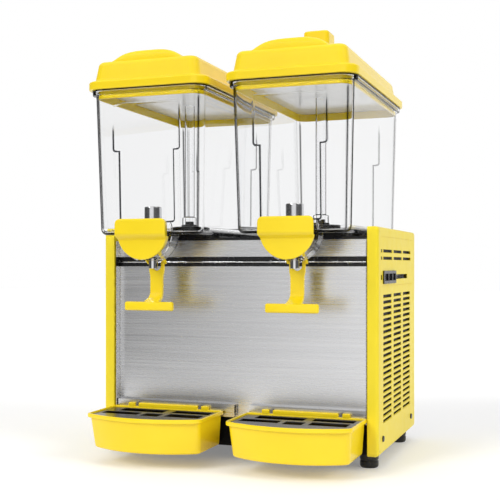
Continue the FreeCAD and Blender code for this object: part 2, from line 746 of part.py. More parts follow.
def make_feet():
    """Four round rubber feet, each with a blind hole for the screw that holds it."""
    feet = []
    for x, y in foot_places():
        toe = Part.makeCone(FOOT_R - FOOT_TAPER, FOOT_R, FOOT_TAPER * 2, point(x, y, 0), Z_AXIS)
        body = rod_z(x, y, FOOT_TAPER * 2, BASE_Z, FOOT_R)
        hole = rod_z(x, y, BASE_Z - FOOT_STUD_LENGTH, BASE_Z + 1, FOOT_STUD_R)
        feet.append(join([toe, body]).cut(hole))
    save("rubber_feet", Part.makeCompound(feet))


def make_screws():
    """Pan-head screws of the side and rear panels, and the screws that hold the feet."""
    screws = []
    for y, z in screw_places():
        head = rod_x(HALF_WIDTH, HALF_WIDTH + SCREW_HEAD_HEIGHT, y, z, SCREW_HEAD_R)
        outer_edges = [edge for edge in head.Edges if edge.BoundBox.XMin > HALF_WIDTH + 1]
        head = head.makeFillet(SCREW_EDGE_R, outer_edges)
        shank = rod_x(HALF_WIDTH - SCREW_LENGTH, HALF_WIDTH, y, z, SCREW_R - SHAFT_GAP)
        screw = join([head, shank])
        screws += [screw, mirror_x(screw)]
    x = rear_screw_x()
    for z in rear_screw_heights():
        head_y = REAR_WALL_Y + SHEET
        head = rod_y(x, head_y, head_y + SCREW_HEAD_HEIGHT, z, SCREW_HEAD_R - SHEET)
        shank = rod_y(x, head_y - SCREW_LENGTH, head_y, z, SCREW_R - SHAFT_GAP)
        screw = join([head, shank])
        screws += [screw, mirror_x(screw)]
    pan_top = BASE_Z + SHEET
    for x, y in foot_places():
        head = rod_z(x, y, pan_top, pan_top + SCREW_HEAD_HEIGHT, FOOT_SCREW_HEAD_R)
        shank = rod_z(x, y, pan_top - FOOT_STUD_LENGTH, pan_top, FOOT_STUD_R - SHAFT_GAP)
        screws.append(join([head, shank]))
    save("fixing_screws", Part.makeCompound(screws))


def make_rear_panel():
    """The rear sheet with level air slots and the cut-out for the power inlet."""
    half = INNER_X + REAR_PANEL_LAP
    y0 = REAR_WALL_Y
    y1 = REAR_WALL_Y + SHEET
    sheet = block(-half, half, y0, y1, BASE_Z + SIDE_WALL, DECK_TOP_Z)
    fold_half = INNER_X - DECK_LEDGE_WIDTH - RUN_GAP
    fold = block(-fold_half, fold_half, y0 - BAND_RETURN, y0, DECK_BOTTOM_Z - SHEET, DECK_BOTTOM_Z)
    cutters = []
    for row in range(REAR_VENT_ROWS):
        z0 = DECK_BOTTOM_Z - REAR_VENT_DROP - row * REAR_VENT_PITCH
        for side in (-1, 1):
            x_mid = side * INNER_X / 2
            x0 = x_mid - REAR_VENT_LENGTH / 2
            cutters.append(block(x0, x0 + REAR_VENT_LENGTH, y0 - 1, y1 + 1, z0, z0 + REAR_VENT_HEIGHT))
    for z in rear_screw_heights():
        for side in (-1, 1):
            cutters.append(rod_y(side * rear_screw_x(), y0 - 1, y1 + 1, z, SCREW_R + RUN_GAP))
    half_w = INLET_WIDTH / 2
    z_mid = BASE_Z + INLET_UP
    half_h = INLET_HEIGHT / 2
    cutters.append(block(INLET_X - half_w, INLET_X + half_w, y0 - 1, y1 + 1, z_mid - half_h, z_mid + half_h))
    save("rear_panel", cut(join([sheet, fold]), cutters))


def make_inlet():
    """The power inlet: a flanged housing with a recessed three-pin socket, open to the back."""
    y_flange = REAR_WALL_Y + SHEET
    z_mid = BASE_Z + INLET_UP
    body_w = INLET_WIDTH - RUN_GAP * 2
    body_h = INLET_HEIGHT - RUN_GAP * 2
    half_w = body_w / 2
    half_h = body_h / 2
    rim = INLET_RIM
    body = block(INLET_X - half_w, INLET_X + half_w, y_flange - INLET_DEPTH, y_flange, z_mid - half_h,
                 z_mid + half_h)
    flange = block(INLET_X - half_w - rim, INLET_X + half_w + rim, y_flange, y_flange + INLET_FLANGE,
                   z_mid - half_h - rim, z_mid + half_h + rim)
    socket_w = INLET_SOCKET_WIDTH / 2
    socket_h = INLET_SOCKET_HEIGHT / 2
    socket_y = y_flange - INLET_DEPTH + INLET_FLANGE
    socket = block(INLET_X - socket_w, INLET_X + socket_w, socket_y, y_flange + INLET_FLANGE + 1,
                   z_mid - socket_h, z_mid + socket_h)
    housing = join([body, flange]).cut(socket)
    pin_end = y_flange - INLET_FLANGE
    pins = []
    for dx, dz in ((-INLET_PIN_PITCH, -INLET_PIN_R), (0, INLET_PIN_R * 2), (INLET_PIN_PITCH, -INLET_PIN_R)):
        pins.append(rod_y(INLET_X + dx, socket_y - 1, pin_end, z_mid + dz, INLET_PIN_R))
    save("power_inlet", join([housing] + pins))


def switch_centres():
    """The middle of each rocker along Y, from the front."""
    middle = CABINET_FRONT_Y + SWITCH_PLATE_START + SWITCH_PLATE_LENGTH / 2
    return [middle + (index - 1) * SWITCH_PITCH for index in range(SWITCH_COUNT)]


def switch_mid_z():
    return SIDE_TOP_Z - SWITCH_PLATE_DROP


def make_switch_plate():
    """The black plate in the right side panel, with three pockets for the rocker switches."""
    y0, y1, z0, z1 = switch_opening()
    flange_y = CABINET_FRONT_Y + SWITCH_PLATE_START
    z_mid = switch_mid_z()
    half_h = SWITCH_PLATE_HEIGHT / 2
    face_x = HALF_WIDTH + SWITCH_PLATE_PROUD
    flange = block(HALF_WIDTH, face_x, flange_y, flange_y + SWITCH_PLATE_LENGTH, z_mid - half_h, z_mid + half_h)
    body = block(face_x - SWITCH_DEPTH, HALF_WIDTH, y0 + RUN_GAP, y1 - RUN_GAP, z0 + RUN_GAP, z1 - RUN_GAP)
    cutters = []
    pocket_half = ROCKER_LENGTH / 2 + SWITCH_GAP
    pocket_h = ROCKER_HEIGHT / 2 + RUN_GAP
    for y in switch_centres():
        cutters.append(block(face_x - SWITCH_DEPTH + SWITCH_BACK, face_x + 1, y - pocket_half, y + pocket_half,
                             z_mid - pocket_h, z_mid + pocket_h))
        cutters.append(rod_z(face_x - ROCKER_AXIS_IN, y, z0 - 1, z1 + 1, ROCKER_PIN_R + SHAFT_GAP))
    save("switch_plate", cut(join([flange, body]), cutters))


def make_rockers():
    """Three rocker caps, each tipped to its off side, with a short pin above and below."""
    face_x = HALF_WIDTH + SWITCH_PLATE_PROUD
    axis_x = face_x - ROCKER_AXIS_IN
    z_mid = switch_mid_z()
    z0 = z_mid - ROCKER_HEIGHT / 2
    half = ROCKER_LENGTH / 2
    foot = half * ROCKER_FOOT_SHARE
    for name, y in zip(("power_rocker", "left_pump_rocker", "right_pump_rocker"), switch_centres()):
        outline = [point(axis_x + ROCKER_RISE, y - half, z0), point(axis_x + ROCKER_DIP, y, z0),
                   point(axis_x + ROCKER_RISE, y + half, z0), point(axis_x - ROCKER_BACK, y + foot, z0),
                   point(axis_x - ROCKER_BACK, y - foot, z0)]
        cap = polygon_prism(outline, point(0, 0, ROCKER_HEIGHT))
        pin = rod_z(axis_x, y, z0 - ROCKER_PIN_LENGTH, z0 + ROCKER_HEIGHT + ROCKER_PIN_LENGTH, ROCKER_PIN_R)
        rocker = join([cap, pin])
        rocker.rotate(point(axis_x, y, z_mid), Z_AXIS, ROCKER_TILT)
        save(name, rocker)


# Cold plates, drive and refrigeration

def make_seats():
    """A black rubber ring under each tank, and the cold plate that lies inside the ring."""
    front = PANEL_Y + SEAT_FRONT
    rear = TANK_BOTTOM_SHIFT + TANK_BOTTOM_DEPTH / 2 - SEAT_REAR
    depth = rear - front
    mid = (rear + front) / 2
    top = DECK_TOP_Z + SEAT_THICKNESS
    rings = []
    plates = []
    inner_w = SEAT_WIDTH - 2 * SEAT_RUBBER
    inner_d = depth - 2 * SEAT_RUBBER
    inner_r = SEAT_R - SEAT_RUBBER
    for x in TANK_XS:
        ring = rounded_block(x, mid, DECK_TOP_Z, top, SEAT_WIDTH, depth, SEAT_R)
        inside = rounded_block(x, mid, DECK_TOP_Z, top, inner_w, inner_d, inner_r)
        rings.append(ring.cut(inside))
        hole = rod_z(x, 0, DECK_TOP_Z - 1, top + 1, DRIVER_HOLE_R)
        plates.append(inside.cut(hole))
    save("tank_seats", Part.makeCompound(rings))
    save("cold_plates", Part.makeCompound(plates))


def make_pump_motors():
    """Two motors under the deck, each with a round plate on three stand-offs."""
    motors = []
    plate_z = DECK_BOTTOM_Z - MOTOR_DROP
    for x in TANK_XS:
        body = rod_z(x, 0, plate_z - MOTOR_PLATE - MOTOR_HEIGHT, plate_z - MOTOR_PLATE, MOTOR_R)
        plate = rod_z(x, 0, plate_z - MOTOR_PLATE, plate_z, MOTOR_R + MOTOR_EAR)
        standoffs = []
        for index in range(MOTOR_STANDOFFS):
            angle = math.radians(90 + index * 360 / MOTOR_STANDOFFS)
            sx = x + (MOTOR_R + MOTOR_EAR / 2) * math.cos(angle)
            sy = (MOTOR_R + MOTOR_EAR / 2) * math.sin(angle)
            standoffs.append(rod_z(sx, sy, plate_z, DECK_BOTTOM_Z, MOTOR_STANDOFF_R))
        bore_z = plate_z - MOTOR_PLATE - MOTOR_BORE
        bore = rod_z(x, 0, bore_z, plate_z + 1, MOTOR_SHAFT_R + SHAFT_GAP)
        motors.append(join([body, plate] + standoffs).cut(bore))
    save("pump_motors", Part.makeCompound(motors))


def make_magnet_drivers():
    """The magnet discs that turn in the deck's round holes and drive the pumps through the tank floors."""
    plate_z = DECK_BOTTOM_Z - MOTOR_DROP
    top = TANK_BOTTOM_Z - DRIVER_BELOW_TANK
    for side, x in zip(SIDES, TANK_XS):
        disc = rod_z(x, 0, top - DRIVER_THICKNESS, top, DRIVER_R)
        hub = rod_z(x, 0, plate_z + RUN_GAP, top - DRIVER_THICKNESS, DRIVER_HUB_R)
        shaft = rod_z(x, 0, plate_z - MOTOR_PLATE - MOTOR_BORE + RUN_GAP, plate_z + RUN_GAP, MOTOR_SHAFT_R)
        magnets = []
        for index in range(DRIVER_MAGNETS):
            angle = math.radians((index + 0.5) * 360 / DRIVER_MAGNETS)
            mx = x + DRIVER_MAGNET_RING * math.cos(angle)
            my = DRIVER_MAGNET_RING * math.sin(angle)
            magnets.append(rod_z(mx, my, top - 1, top + 1, DRIVER_MAGNET_R))
        save(side + "_magnet_driver", cut(join([disc, hub, shaft]), magnets))


def make_compressor():
    """A domed steel pot on a foot plate, with two pipe stubs."""
    z0 = BASE_Z + SHEET
    feet = [rod_z(COMPRESSOR_X + dx, COMPRESSOR_Y + dy, z0, z0 + COMPRESSOR_FOOT, COMPRESSOR_PAD_R)
            for dx in (-COMPRESSOR_PAD_X, COMPRESSOR_PAD_X) for dy in (-COMPRESSOR_PAD_Y, COMPRESSOR_PAD_Y)]
    plate_z = z0 + COMPRESSOR_FOOT
    plate = rounded_block(COMPRESSOR_X, COMPRESSOR_Y, plate_z, plate_z + COMPRESSOR_PLATE,
                          2 * (COMPRESSOR_PAD_X + COMPRESSOR_PAD_R), 2 * (COMPRESSOR_PAD_Y + COMPRESSOR_PAD_R),
                          COMPRESSOR_PAD_R)
    pot_z = plate_z + COMPRESSOR_PLATE
    pot = rod_z(COMPRESSOR_X, COMPRESSOR_Y, pot_z, pot_z + COMPRESSOR_HEIGHT, COMPRESSOR_R)
    pot = pot.makeFillet(COMPRESSOR_DOME_R, edges_at_height(pot, pot_z + COMPRESSOR_HEIGHT))
    band_z = pot_z + COMPRESSOR_BAND_UP
    band = rod_z(COMPRESSOR_X, COMPRESSOR_Y, band_z, band_z + COMPRESSOR_PLATE, COMPRESSOR_R + COMPRESSOR_BAND)
    stubs = []
    for y, z in pipe_stub_places():
        stub = rod_x(COMPRESSOR_X, COMPRESSOR_X + COMPRESSOR_R + STUB_LENGTH, y, z, PIPE_R + STUB_WALL)
        stubs.append(stub)
    body = join([plate, pot, band] + feet + stubs)
    bores = []
    for y, z in pipe_stub_places():
        x_end = COMPRESSOR_X + COMPRESSOR_R + STUB_LENGTH
        bores.append(rod_x(x_end - STUB_LENGTH, x_end + 1, y, z, PIPE_R + SHAFT_GAP))
    save("compressor", cut(body, bores))


def pipe_stub_places():
    """The compressor's pipe stubs as y and z: first the outlet, then the return."""
    z = BASE_Z + STUB_UP
    return ((COMPRESSOR_Y - STUB_SPREAD, z), (COMPRESSOR_Y + STUB_SPREAD, z))


def make_condenser():
    """The finned condenser on the right, standing on two feet on the base pan."""
    x0 = CONDENSER_X - CONDENSER_WIDTH / 2
    x1 = CONDENSER_X + CONDENSER_WIDTH / 2
    y0 = COMPRESSOR_Y - CONDENSER_LENGTH / 2
    y1 = COMPRESSOR_Y + CONDENSER_LENGTH / 2
    z0 = BASE_Z + SHEET + CONDENSER_UP
    z1 = z0 + CONDENSER_HEIGHT
    core = block(x0, x1, y0, y1, z0, z1)
    pitch = CONDENSER_LENGTH / CONDENSER_FINS
    cutters = []
    for index in range(1, CONDENSER_FINS):
        y = y0 + index * pitch
        for low_x, high_x in ((x0 - 1, x0 + CONDENSER_FIN_DEPTH), (x1 - CONDENSER_FIN_DEPTH, x1 + 1)):
            cutters.append(block(low_x, high_x, y - pitch / 3, y + pitch / 3, z0 + CONDENSER_EDGE,
                                 z1 - CONDENSER_EDGE))
    feet = [block(x0, x1, y, y + CONDENSER_WIDTH, BASE_Z + SHEET, z0) for y in (y0, y1 - CONDENSER_WIDTH)]
    core = join([cut(core, cutters)] + feet)
    bores = []
    for y, z in condenser_ports():
        bores.append(rod_z(CONDENSER_X, y, z - STUB_LENGTH, z + 1, PIPE_R + SHAFT_GAP))
    save("condenser", cut(core, bores))


def condenser_ports():
    z = BASE_Z + SHEET + CONDENSER_UP + CONDENSER_HEIGHT
    y = COMPRESSOR_Y - CONDENSER_LENGTH / 2 + CONDENSER_WIDTH
    return ((y, z), (COMPRESSOR_Y + CONDENSER_LENGTH / 2 - CONDENSER_WIDTH, z))


def fan_centre_z():
    return BASE_Z + SHEET + CONDENSER_UP + CONDENSER_HEIGHT / 2


def make_fan():
    """The fan behind the condenser: a shroud with arms, the motor on the arms, and the blade wheel."""
    z = fan_centre_z()
    y = COMPRESSOR_Y
    x1 = CONDENSER_X - CONDENSER_WIDTH / 2
    x0 = x1 - SHROUD_THICKNESS
    half_l = CONDENSER_LENGTH / 2
    half_h = CONDENSER_HEIGHT / 2
    plate = block(x0, x1, y - half_l, y + half_l, z - half_h, z + half_h)
    plate = plate.cut(rod_x(x0 - 1, x1 + 1, y, z, SHROUD_HOLE_R))
    wheel_x = x0 - FAN_DEPTH / 2
    motor_x1 = wheel_x - FAN_DEPTH / 2 - FAN_MOTOR_GAP
    motor_x0 = motor_x1 - FAN_MOTOR_LENGTH
    arm_x = motor_x0 - FAN_BRACKET
    pieces = [plate]
    for side in (-1, 1):
        reach = side * (SHROUD_HOLE_R + FAN_BRACKET)
        y0, y1 = sorted((y + reach, y + reach + side * FAN_BRACKET))
        pieces.append(block(arm_x, x0, y0, y1, z - FAN_HUB_R / 2, z + FAN_HUB_R / 2))
    cross = SHROUD_HOLE_R + 2 * FAN_BRACKET
    pieces.append(block(arm_x, motor_x0, y - cross, y + cross, z - FAN_HUB_R / 2, z + FAN_HUB_R / 2))
    save("fan_shroud", join(pieces))
    motor = rod_x(motor_x0, motor_x1, y, z, FAN_MOTOR_R)
    bore = rod_x(motor_x1 - FAN_MOTOR_LENGTH / 2, motor_x1 + 1, y, z, FAN_SHAFT_R + SHAFT_GAP)
    save("fan_motor", motor.cut(bore))
    hub = rod_x(wheel_x - FAN_DEPTH / 2, wheel_x + FAN_DEPTH / 2, y, z, FAN_HUB_R)
    shaft = rod_x(motor_x1 - FAN_MOTOR_LENGTH / 2 + RUN_GAP, wheel_x, y, z, FAN_SHAFT_R)
    blades = []
    for index in range(FAN_BLADES):
        blade = block(wheel_x - FAN_BLADE_THICKNESS / 2, wheel_x + FAN_BLADE_THICKNESS / 2,
                      y - FAN_BLADE_CHORD / 2, y + FAN_BLADE_CHORD / 2,
                      z + FAN_HUB_R - FAN_BLADE_ROOT, z + 2 * FAN_R)
        blade.rotate(point(wheel_x, y, z), Z_AXIS, FAN_BLADE_TILT)
        blade.rotate(point(wheel_x, y, z), X_AXIS, index * 360 / FAN_BLADES)
        blades.append(blade)
    rim = rod_x(wheel_x - FAN_DEPTH, wheel_x + FAN_DEPTH, y, z, FAN_R)
    blades = [blade.common(rim) for blade in blades]
    save("fan_blade", join([hub, shaft] + blades))


def pipe_run(points):
    """A round pipe through points, with a ball at each corner."""
    pieces = []
    for start, end in zip(points, points[1:]):
        run = end.sub(start)
        pieces.append(Part.makeCylinder(PIPE_R, run.Length, start, run))
    for corner in points[1:-1]:
        pieces.append(Part.makeSphere(PIPE_R, corner))
    return join(pieces)


def make_pipes():
    """The refrigerant circuit: compressor to condenser, along under both cold plates, and back."""
    (out_y, stub_z), (back_y, _) = pipe_stub_places()
    stub_x = COMPRESSOR_X + COMPRESSOR_R + SMALL_GAP
    (port_in_y, port_z), (port_out_y, _) = condenser_ports()
    port_bottom = port_z - STUB_LENGTH + SMALL_GAP
    run_z = DECK_BOTTOM_Z - PIPE_R
    bend_x = stub_x + 2 * STUB_LENGTH
    hot_z = port_z + 2 * STUB_LENGTH
    hot = pipe_run([point(stub_x, out_y, stub_z), point(bend_x, out_y, stub_z), point(bend_x, out_y, hot_z),
                    point(bend_x, port_in_y, hot_z), point(CONDENSER_X, port_in_y, hot_z),
                    point(CONDENSER_X, port_in_y, port_bottom)])
    near_y = MOTOR_R + MOTOR_EAR + PIPE_CLEAR
    far_y = near_y + PIPE_PITCH
    right_x = CONDENSER_X
    left_x = -CONDENSER_X
    cold = pipe_run([point(right_x, port_out_y, port_bottom), point(right_x, port_out_y, run_z),
                     point(left_x, port_out_y, run_z), point(left_x, far_y, run_z),
                     point(right_x - PIPE_INSET, far_y, run_z), point(right_x - PIPE_INSET, near_y, run_z),
                     point(bend_x, near_y, run_z), point(bend_x, near_y, stub_z + PIPE_CLEAR),
                     point(bend_x, back_y, stub_z + PIPE_CLEAR), point(bend_x, back_y, stub_z),
                     point(stub_x, back_y, stub_z)])
    save("refrigerant_pipes", Part.makeCompound([hot, cold]))


# Tanks, pumps and taps

def tank_outer(x):
    """The tank's outside as a solid: tapering walls and a round bottom edge."""
    foot = edge_sections(TANK_BOTTOM_SHIFT, TANK_BOTTOM_Z, TANK_BOTTOM_WIDTH, TANK_BOTTOM_DEPTH,
                         TANK_BOTTOM_R, TANK_EDGE_R, -1)
    return rounded_loft(x, foot + [(0, SEAM_Z, TANK_TOP_WIDTH, TANK_TOP_DEPTH, TANK_TOP_R)])


def tank_inner(x):
    """The tank's inside as a solid, open above the seam."""
    wall = TANK_WALL
    foot = edge_sections(TANK_BOTTOM_SHIFT, TANK_FLOOR_Z, TANK_BOTTOM_WIDTH - 2 * wall,
                         TANK_BOTTOM_DEPTH - 2 * wall, TANK_BOTTOM_R - wall, TANK_EDGE_R - wall, -1)
    top = (0, SEAM_Z + 1, TANK_TOP_WIDTH - 2 * wall, TANK_TOP_DEPTH - 2 * wall, TANK_TOP_R - wall)
    return rounded_loft(x, foot + [top])


def make_tank(side, x):
    """The clear tank with its lip, the shallow step on its front and back, the tap hole and the pump pin."""
    outer = tank_outer(x)
    step_z = TANK_BOTTOM_Z + RELIEF_STEP_UP
    low_z = TANK_BOTTOM_Z + RELIEF_BOTTOM_UP
    high_z = SEAM_Z - RELIEF_TOP_DOWN
    reliefs = []
    for y_shift in (RELIEF_DEPTH, -RELIEF_DEPTH):
        moved = outer.copy()
        moved.translate(point(0, y_shift, 0))
        skin = outer.cut(moved)
        y0, y1 = (-TANK_TOP_DEPTH, 0) if y_shift > 0 else (0, TANK_TOP_DEPTH)
        upper = block(x - RELIEF_UPPER_HALF, x + RELIEF_UPPER_HALF, y0, y1, step_z, high_z)
        lower = block(x - RELIEF_LOWER_HALF, x + RELIEF_LOWER_HALF, y0, y1, low_z, step_z)
        reliefs.append(skin.common(join([upper, lower])))
    lip = rounded_block(x, 0, SEAM_Z - LIP_HEIGHT, SEAM_Z, TANK_TOP_WIDTH + 2 * LIP_WIDTH,
                        TANK_TOP_DEPTH + 2 * LIP_WIDTH, TANK_TOP_R + LIP_WIDTH)
    body = cut(outer, reliefs).fuse(lip)
    pin = rod_z(x, 0, TANK_FLOOR_Z - 1, TANK_FLOOR_Z + PIN_LENGTH, PIN_R)
    hole = rod_z(x, TAP_Y, TANK_BOTTOM_Z - 1, TANK_FLOOR_Z + 1, NECK_R)
    body = body.cut(tank_inner(x)).fuse(pin).cut(hole)
    save(side + "_tank", body.removeSplitter())


def make_pump(side, x):
    """The pump housing on the tank floor, its wheel, and the tall spray tube that stands on it."""
    z0 = TANK_FLOOR_Z
    body = rod_z(x, 0, z0, PUMP_TOP_Z, PUMP_R)
    inside = rod_z(x, 0, z0 - 1, PUMP_TOP_Z - PUMP_TOP, PUMP_R - PUMP_WALL)
    spigot = rod_z(x, 0, PUMP_TOP_Z, PUMP_TOP_Z + PUMP_SPIGOT, TUBE_R - TUBE_WALL - SHAFT_GAP)
    duct = rod_z(x, 0, z0, PUMP_TOP_Z + PUMP_SPIGOT + 1, PUMP_DUCT_R)
    slots = []
    for index in range(PUMP_SLOTS):
        slot = block(x - PUMP_R - 1, x + PUMP_R + 1, -PUMP_SLOT / 2, PUMP_SLOT / 2, z0 - 1,
                     z0 + PUMP_SLOT_HEIGHT)
        slot.rotate(point(x, 0, z0), Z_AXIS, (index + 0.5) * 180 / PUMP_SLOTS)
        slots.append(slot)
    save(side + "_pump_housing", cut(join([body, spigot]), [inside, duct] + slots))
    tube = rod_z(x, 0, PUMP_TOP_Z, SEAM_Z + TUBE_TOP_ABOVE_SEAM, TUBE_R)
    collar = rod_z(x, 0, PUMP_TOP_Z, PUMP_TOP_Z + PUMP_COLLAR_HEIGHT, PUMP_COLLAR_R)
    bore = rod_z(x, 0, PUMP_TOP_Z - 1, SEAM_Z + TUBE_TOP_ABOVE_SEAM + 1, TUBE_R - TUBE_WALL)
    save(side + "_spray_tube", join([tube, collar]).cut(bore))
    low = z0 + IMPELLER_LIFT
    disc = rod_z(x, 0, low, low + IMPELLER_DISC, IMPELLER_R)
    hub = rod_z(x, 0, low, low + IMPELLER_HEIGHT, IMPELLER_HUB_R)
    blades = []
    for index in range(IMPELLER_BLADES):
        blade = block(x, x + IMPELLER_R - 1, -BLADE_THICKNESS / 2, BLADE_THICKNESS / 2, low,
                      low + IMPELLER_HEIGHT - 1)
        blade.rotate(point(x, 0, low), Z_AXIS, index * 360 / IMPELLER_BLADES)
        blades.append(blade)
    pin_bore = rod_z(x, 0, low - 1, z0 + PIN_LENGTH + RUN_GAP, PIN_R + SHAFT_GAP)
    save(side + "_impeller", join([disc, hub] + blades).cut(pin_bore))


def make_tap_body(side, x):
    """The clear tap body: a drum with a front disc, the upright neck and the lever's two bearing ears."""
    y0 = BOSS_FRONT_Y
    z_mid = TANK_BOTTOM_Z + BOSS_RISE
    drum = rod_y(x, y0, y0 + BOSS_DEPTH, z_mid, BOSS_R)
    hollow = rod_y(x, y0 + BOSS_WALL, y0 + BOSS_DEPTH + 1, z_mid, BOSS_R - BOSS_WALL)
    shell = drum.cut(hollow)
    flange = block(x - BOSS_FLANGE_HALF, x + BOSS_FLANGE_HALF, y0, y0 + BOSS_FLANGE_DEPTH,
                   TANK_BOTTOM_Z - BOSS_WALL, TANK_BOTTOM_Z)
    shell = join([shell, flange]).cut(tank_outer(x))
    neck = rod_z(x, TAP_Y, NECK_BOTTOM_Z, TANK_FLOOR_Z, NECK_R - SHAFT_GAP)
    slot = block(x - LEVER_SLOT_HALF, x + LEVER_SLOT_HALF, y0 - 1, y0 + BOSS_DEPTH + 1,
                 z_mid - BOSS_R - 1, PIVOT_Z + LEVER_HUB_R + LEVER_SLOT_GAP)
    crest_z = TANK_BOTTOM_Z + COVER_TOP_UP - BOSS_CREST_DOWN
    crest = block(x - BOSS_R - 1, x + BOSS_R + 1, y0 - 1, y0 + BOSS_DEPTH + 1, crest_z, z_mid + BOSS_R + 1)
    shell = cut(shell, [slot, crest])
    ear_x = LEVER_SLOT_HALF
    ears = []
    for sign in (-1, 1):
        x0, x1 = sorted((x + sign * ear_x, x + sign * (ear_x + PIVOT_EAR)))
        ears.append(block(x0, x1, y0, PIVOT_Y + PIVOT_EAR_BACK, PIVOT_Z - PIVOT_EAR_BACK, TANK_BOTTOM_Z))
    body = join([shell, neck] + ears)
    bore = rod_z(x, TAP_Y, NECK_BOTTOM_Z + NECK_BOTTOM, TANK_FLOOR_Z + 1, NECK_BORE_R)
    outlet = rod_z(x, TAP_Y, NECK_BOTTOM_Z - 1, NECK_BOTTOM_Z + NECK_BOTTOM + 1, NOZZLE_SPIGOT_R + SHAFT_GAP)
    window = block(x - WINDOW_HALF, x + WINDOW_HALF, TAP_Y - NECK_R - 1, TAP_Y + WINDOW_BACK,
                   PIVOT_Z - WINDOW_DOWN, PIVOT_Z + WINDOW_UP)
    ear_end = ear_x + PIVOT_EAR + 1
    pivot = rod_x(x - ear_end, x + ear_end, PIVOT_Y, PIVOT_Z, PIVOT_PIN_R + SHAFT_GAP)
    save(side + "_tap_body", cut(body, [bore, outlet, window, pivot]))


def make_valve(side, x):
    """The polished valve cylinder in the tank, the nozzle below, and the piston with seals and spring."""
    z0 = TANK_FLOOR_Z
    z1 = z0 + SLEEVE_HEIGHT
    sleeve = rod_z(x, TAP_Y, z0, z1, SLEEVE_R)
    sleeve = sleeve.makeFillet(SLEEVE_EDGE_R, edges_at_height(sleeve, z1))
    bore = rod_z(x, TAP_Y, z0 - 1, z1 - SLEEVE_CAP, SLEEVE_BORE_R)
    half = SLEEVE_PORT_WIDTH / 2
    reach = SLEEVE_R + 1
    port_top = z0 + SLEEVE_PORT_HEIGHT
    ports = [block(x - reach, x + reach, TAP_Y - half, TAP_Y + half, z0 - 1, port_top),
             block(x - half, x + half, TAP_Y - reach, TAP_Y + reach, z0 - 1, port_top)]
    save(side + "_valve_sleeve", cut(sleeve, [bore] + ports))
    spout_z = NECK_BOTTOM_Z - NOZZLE_LENGTH
    spout = rod_z(x, TAP_Y, spout_z, NECK_BOTTOM_Z, NOZZLE_R)
    spout = spout.makeFillet(NOZZLE_EDGE_R, edges_at_height(spout, spout_z))
    spigot = rod_z(x, TAP_Y, NECK_BOTTOM_Z, NECK_BOTTOM_Z + NECK_BOTTOM, NOZZLE_SPIGOT_R)
    hole = rod_z(x, TAP_Y, spout_z - 1, NECK_BOTTOM_Z + NECK_BOTTOM + 1, NOZZLE_BORE_R)
    save(side + "_nozzle", join([spout, spigot]).cut(hole))
    top = z0 + PISTON_ABOVE_FLOOR
    bottom = NECK_BOTTOM_Z + NECK_BOTTOM + PISTON_LIFT_GAP
    piston = rod_z(x, TAP_Y, bottom, top, PISTON_R)
    duct = rod_z(x, TAP_Y, bottom - 1, top - PISTON_CROWN, PISTON_DUCT_R)
    inlet_z = z0 - PISTON_INLET_DOWN
    inlet = rod_x(x - PISTON_R - 1, x + PISTON_R + 1, TAP_Y, inlet_z, PISTON_INLET_R)
    cutters = [duct, inlet]
    seals = []
    seal_major = NECK_BORE_R - SHAFT_GAP - SEAL_SECTION_R
    for z in (z0 - SEAL_SECTION_R - RUN_GAP, z0 - SEAL_SPACING):
        half_groove = SEAL_SECTION_R + SHAFT_GAP
        groove = rod_z(x, TAP_Y, z - half_groove, z + half_groove, PISTON_R + 1)
        core = rod_z(x, TAP_Y, z - half_groove, z + half_groove, seal_major - SEAL_SECTION_R)
        cutters.append(groove.cut(core))
        seals.append(Part.makeTorus(seal_major, SEAL_SECTION_R, point(x, TAP_Y, z), Z_AXIS))
    notch_y = TAP_Y + LEVER_TIP_R + RUN_GAP
    for sign in (-1, 1):
        x0, x1 = sorted((x + sign * PISTON_WEB_HALF, x + sign * (PISTON_R + 1)))
        cutters.append(block(x0, x1, TAP_Y - PISTON_R - 1, notch_y, PIVOT_Z - PISTON_NOTCH_BELOW,
                             PIVOT_Z + LEVER_TIP_R + SHAFT_GAP))
    save(side + "_piston", cut(piston, cutters))
    save(side + "_piston_seals", Part.makeCompound(seals))
    spring_top = z1 - SLEEVE_CAP
    height = spring_top - top - 2 * SPRING_WIRE_R
    helix = Part.makeHelix(height / SPRING_TURNS, height, SPRING_R)
    profile = Part.Wire(Part.makeCircle(SPRING_WIRE_R, point(SPRING_R, 0, 0), Y_AXIS))
    spring = Part.Wire(helix).makePipeShell([profile], True, True)
    spring.translate(point(x, TAP_Y, top + SPRING_WIRE_R))
    save(side + "_valve_spring", spring)


def strap(points, thickness, x0, x1):
    """A bent strap: flat runs of one thickness with round joints, between x0 and x1."""
    pieces = []
    for y, z in points:
        pieces.append(rod_x(x0, x1, y, z, thickness / 2))
    for (ya, za), (yb, zb) in zip(points, points[1:]):
        length = math.hypot(yb - ya, zb - za)
        ny = -(zb - za) / length * thickness / 2
        nz = (yb - ya) / length * thickness / 2
        outline = [point(x0, ya + ny, za + nz), point(x0, yb + ny, zb + nz), point(x0, yb - ny, zb - nz),
                   point(x0, ya - ny, za - nz)]
        pieces.append(polygon_prism(outline, point(x1 - x0, 0, 0)))
    return join(pieces)


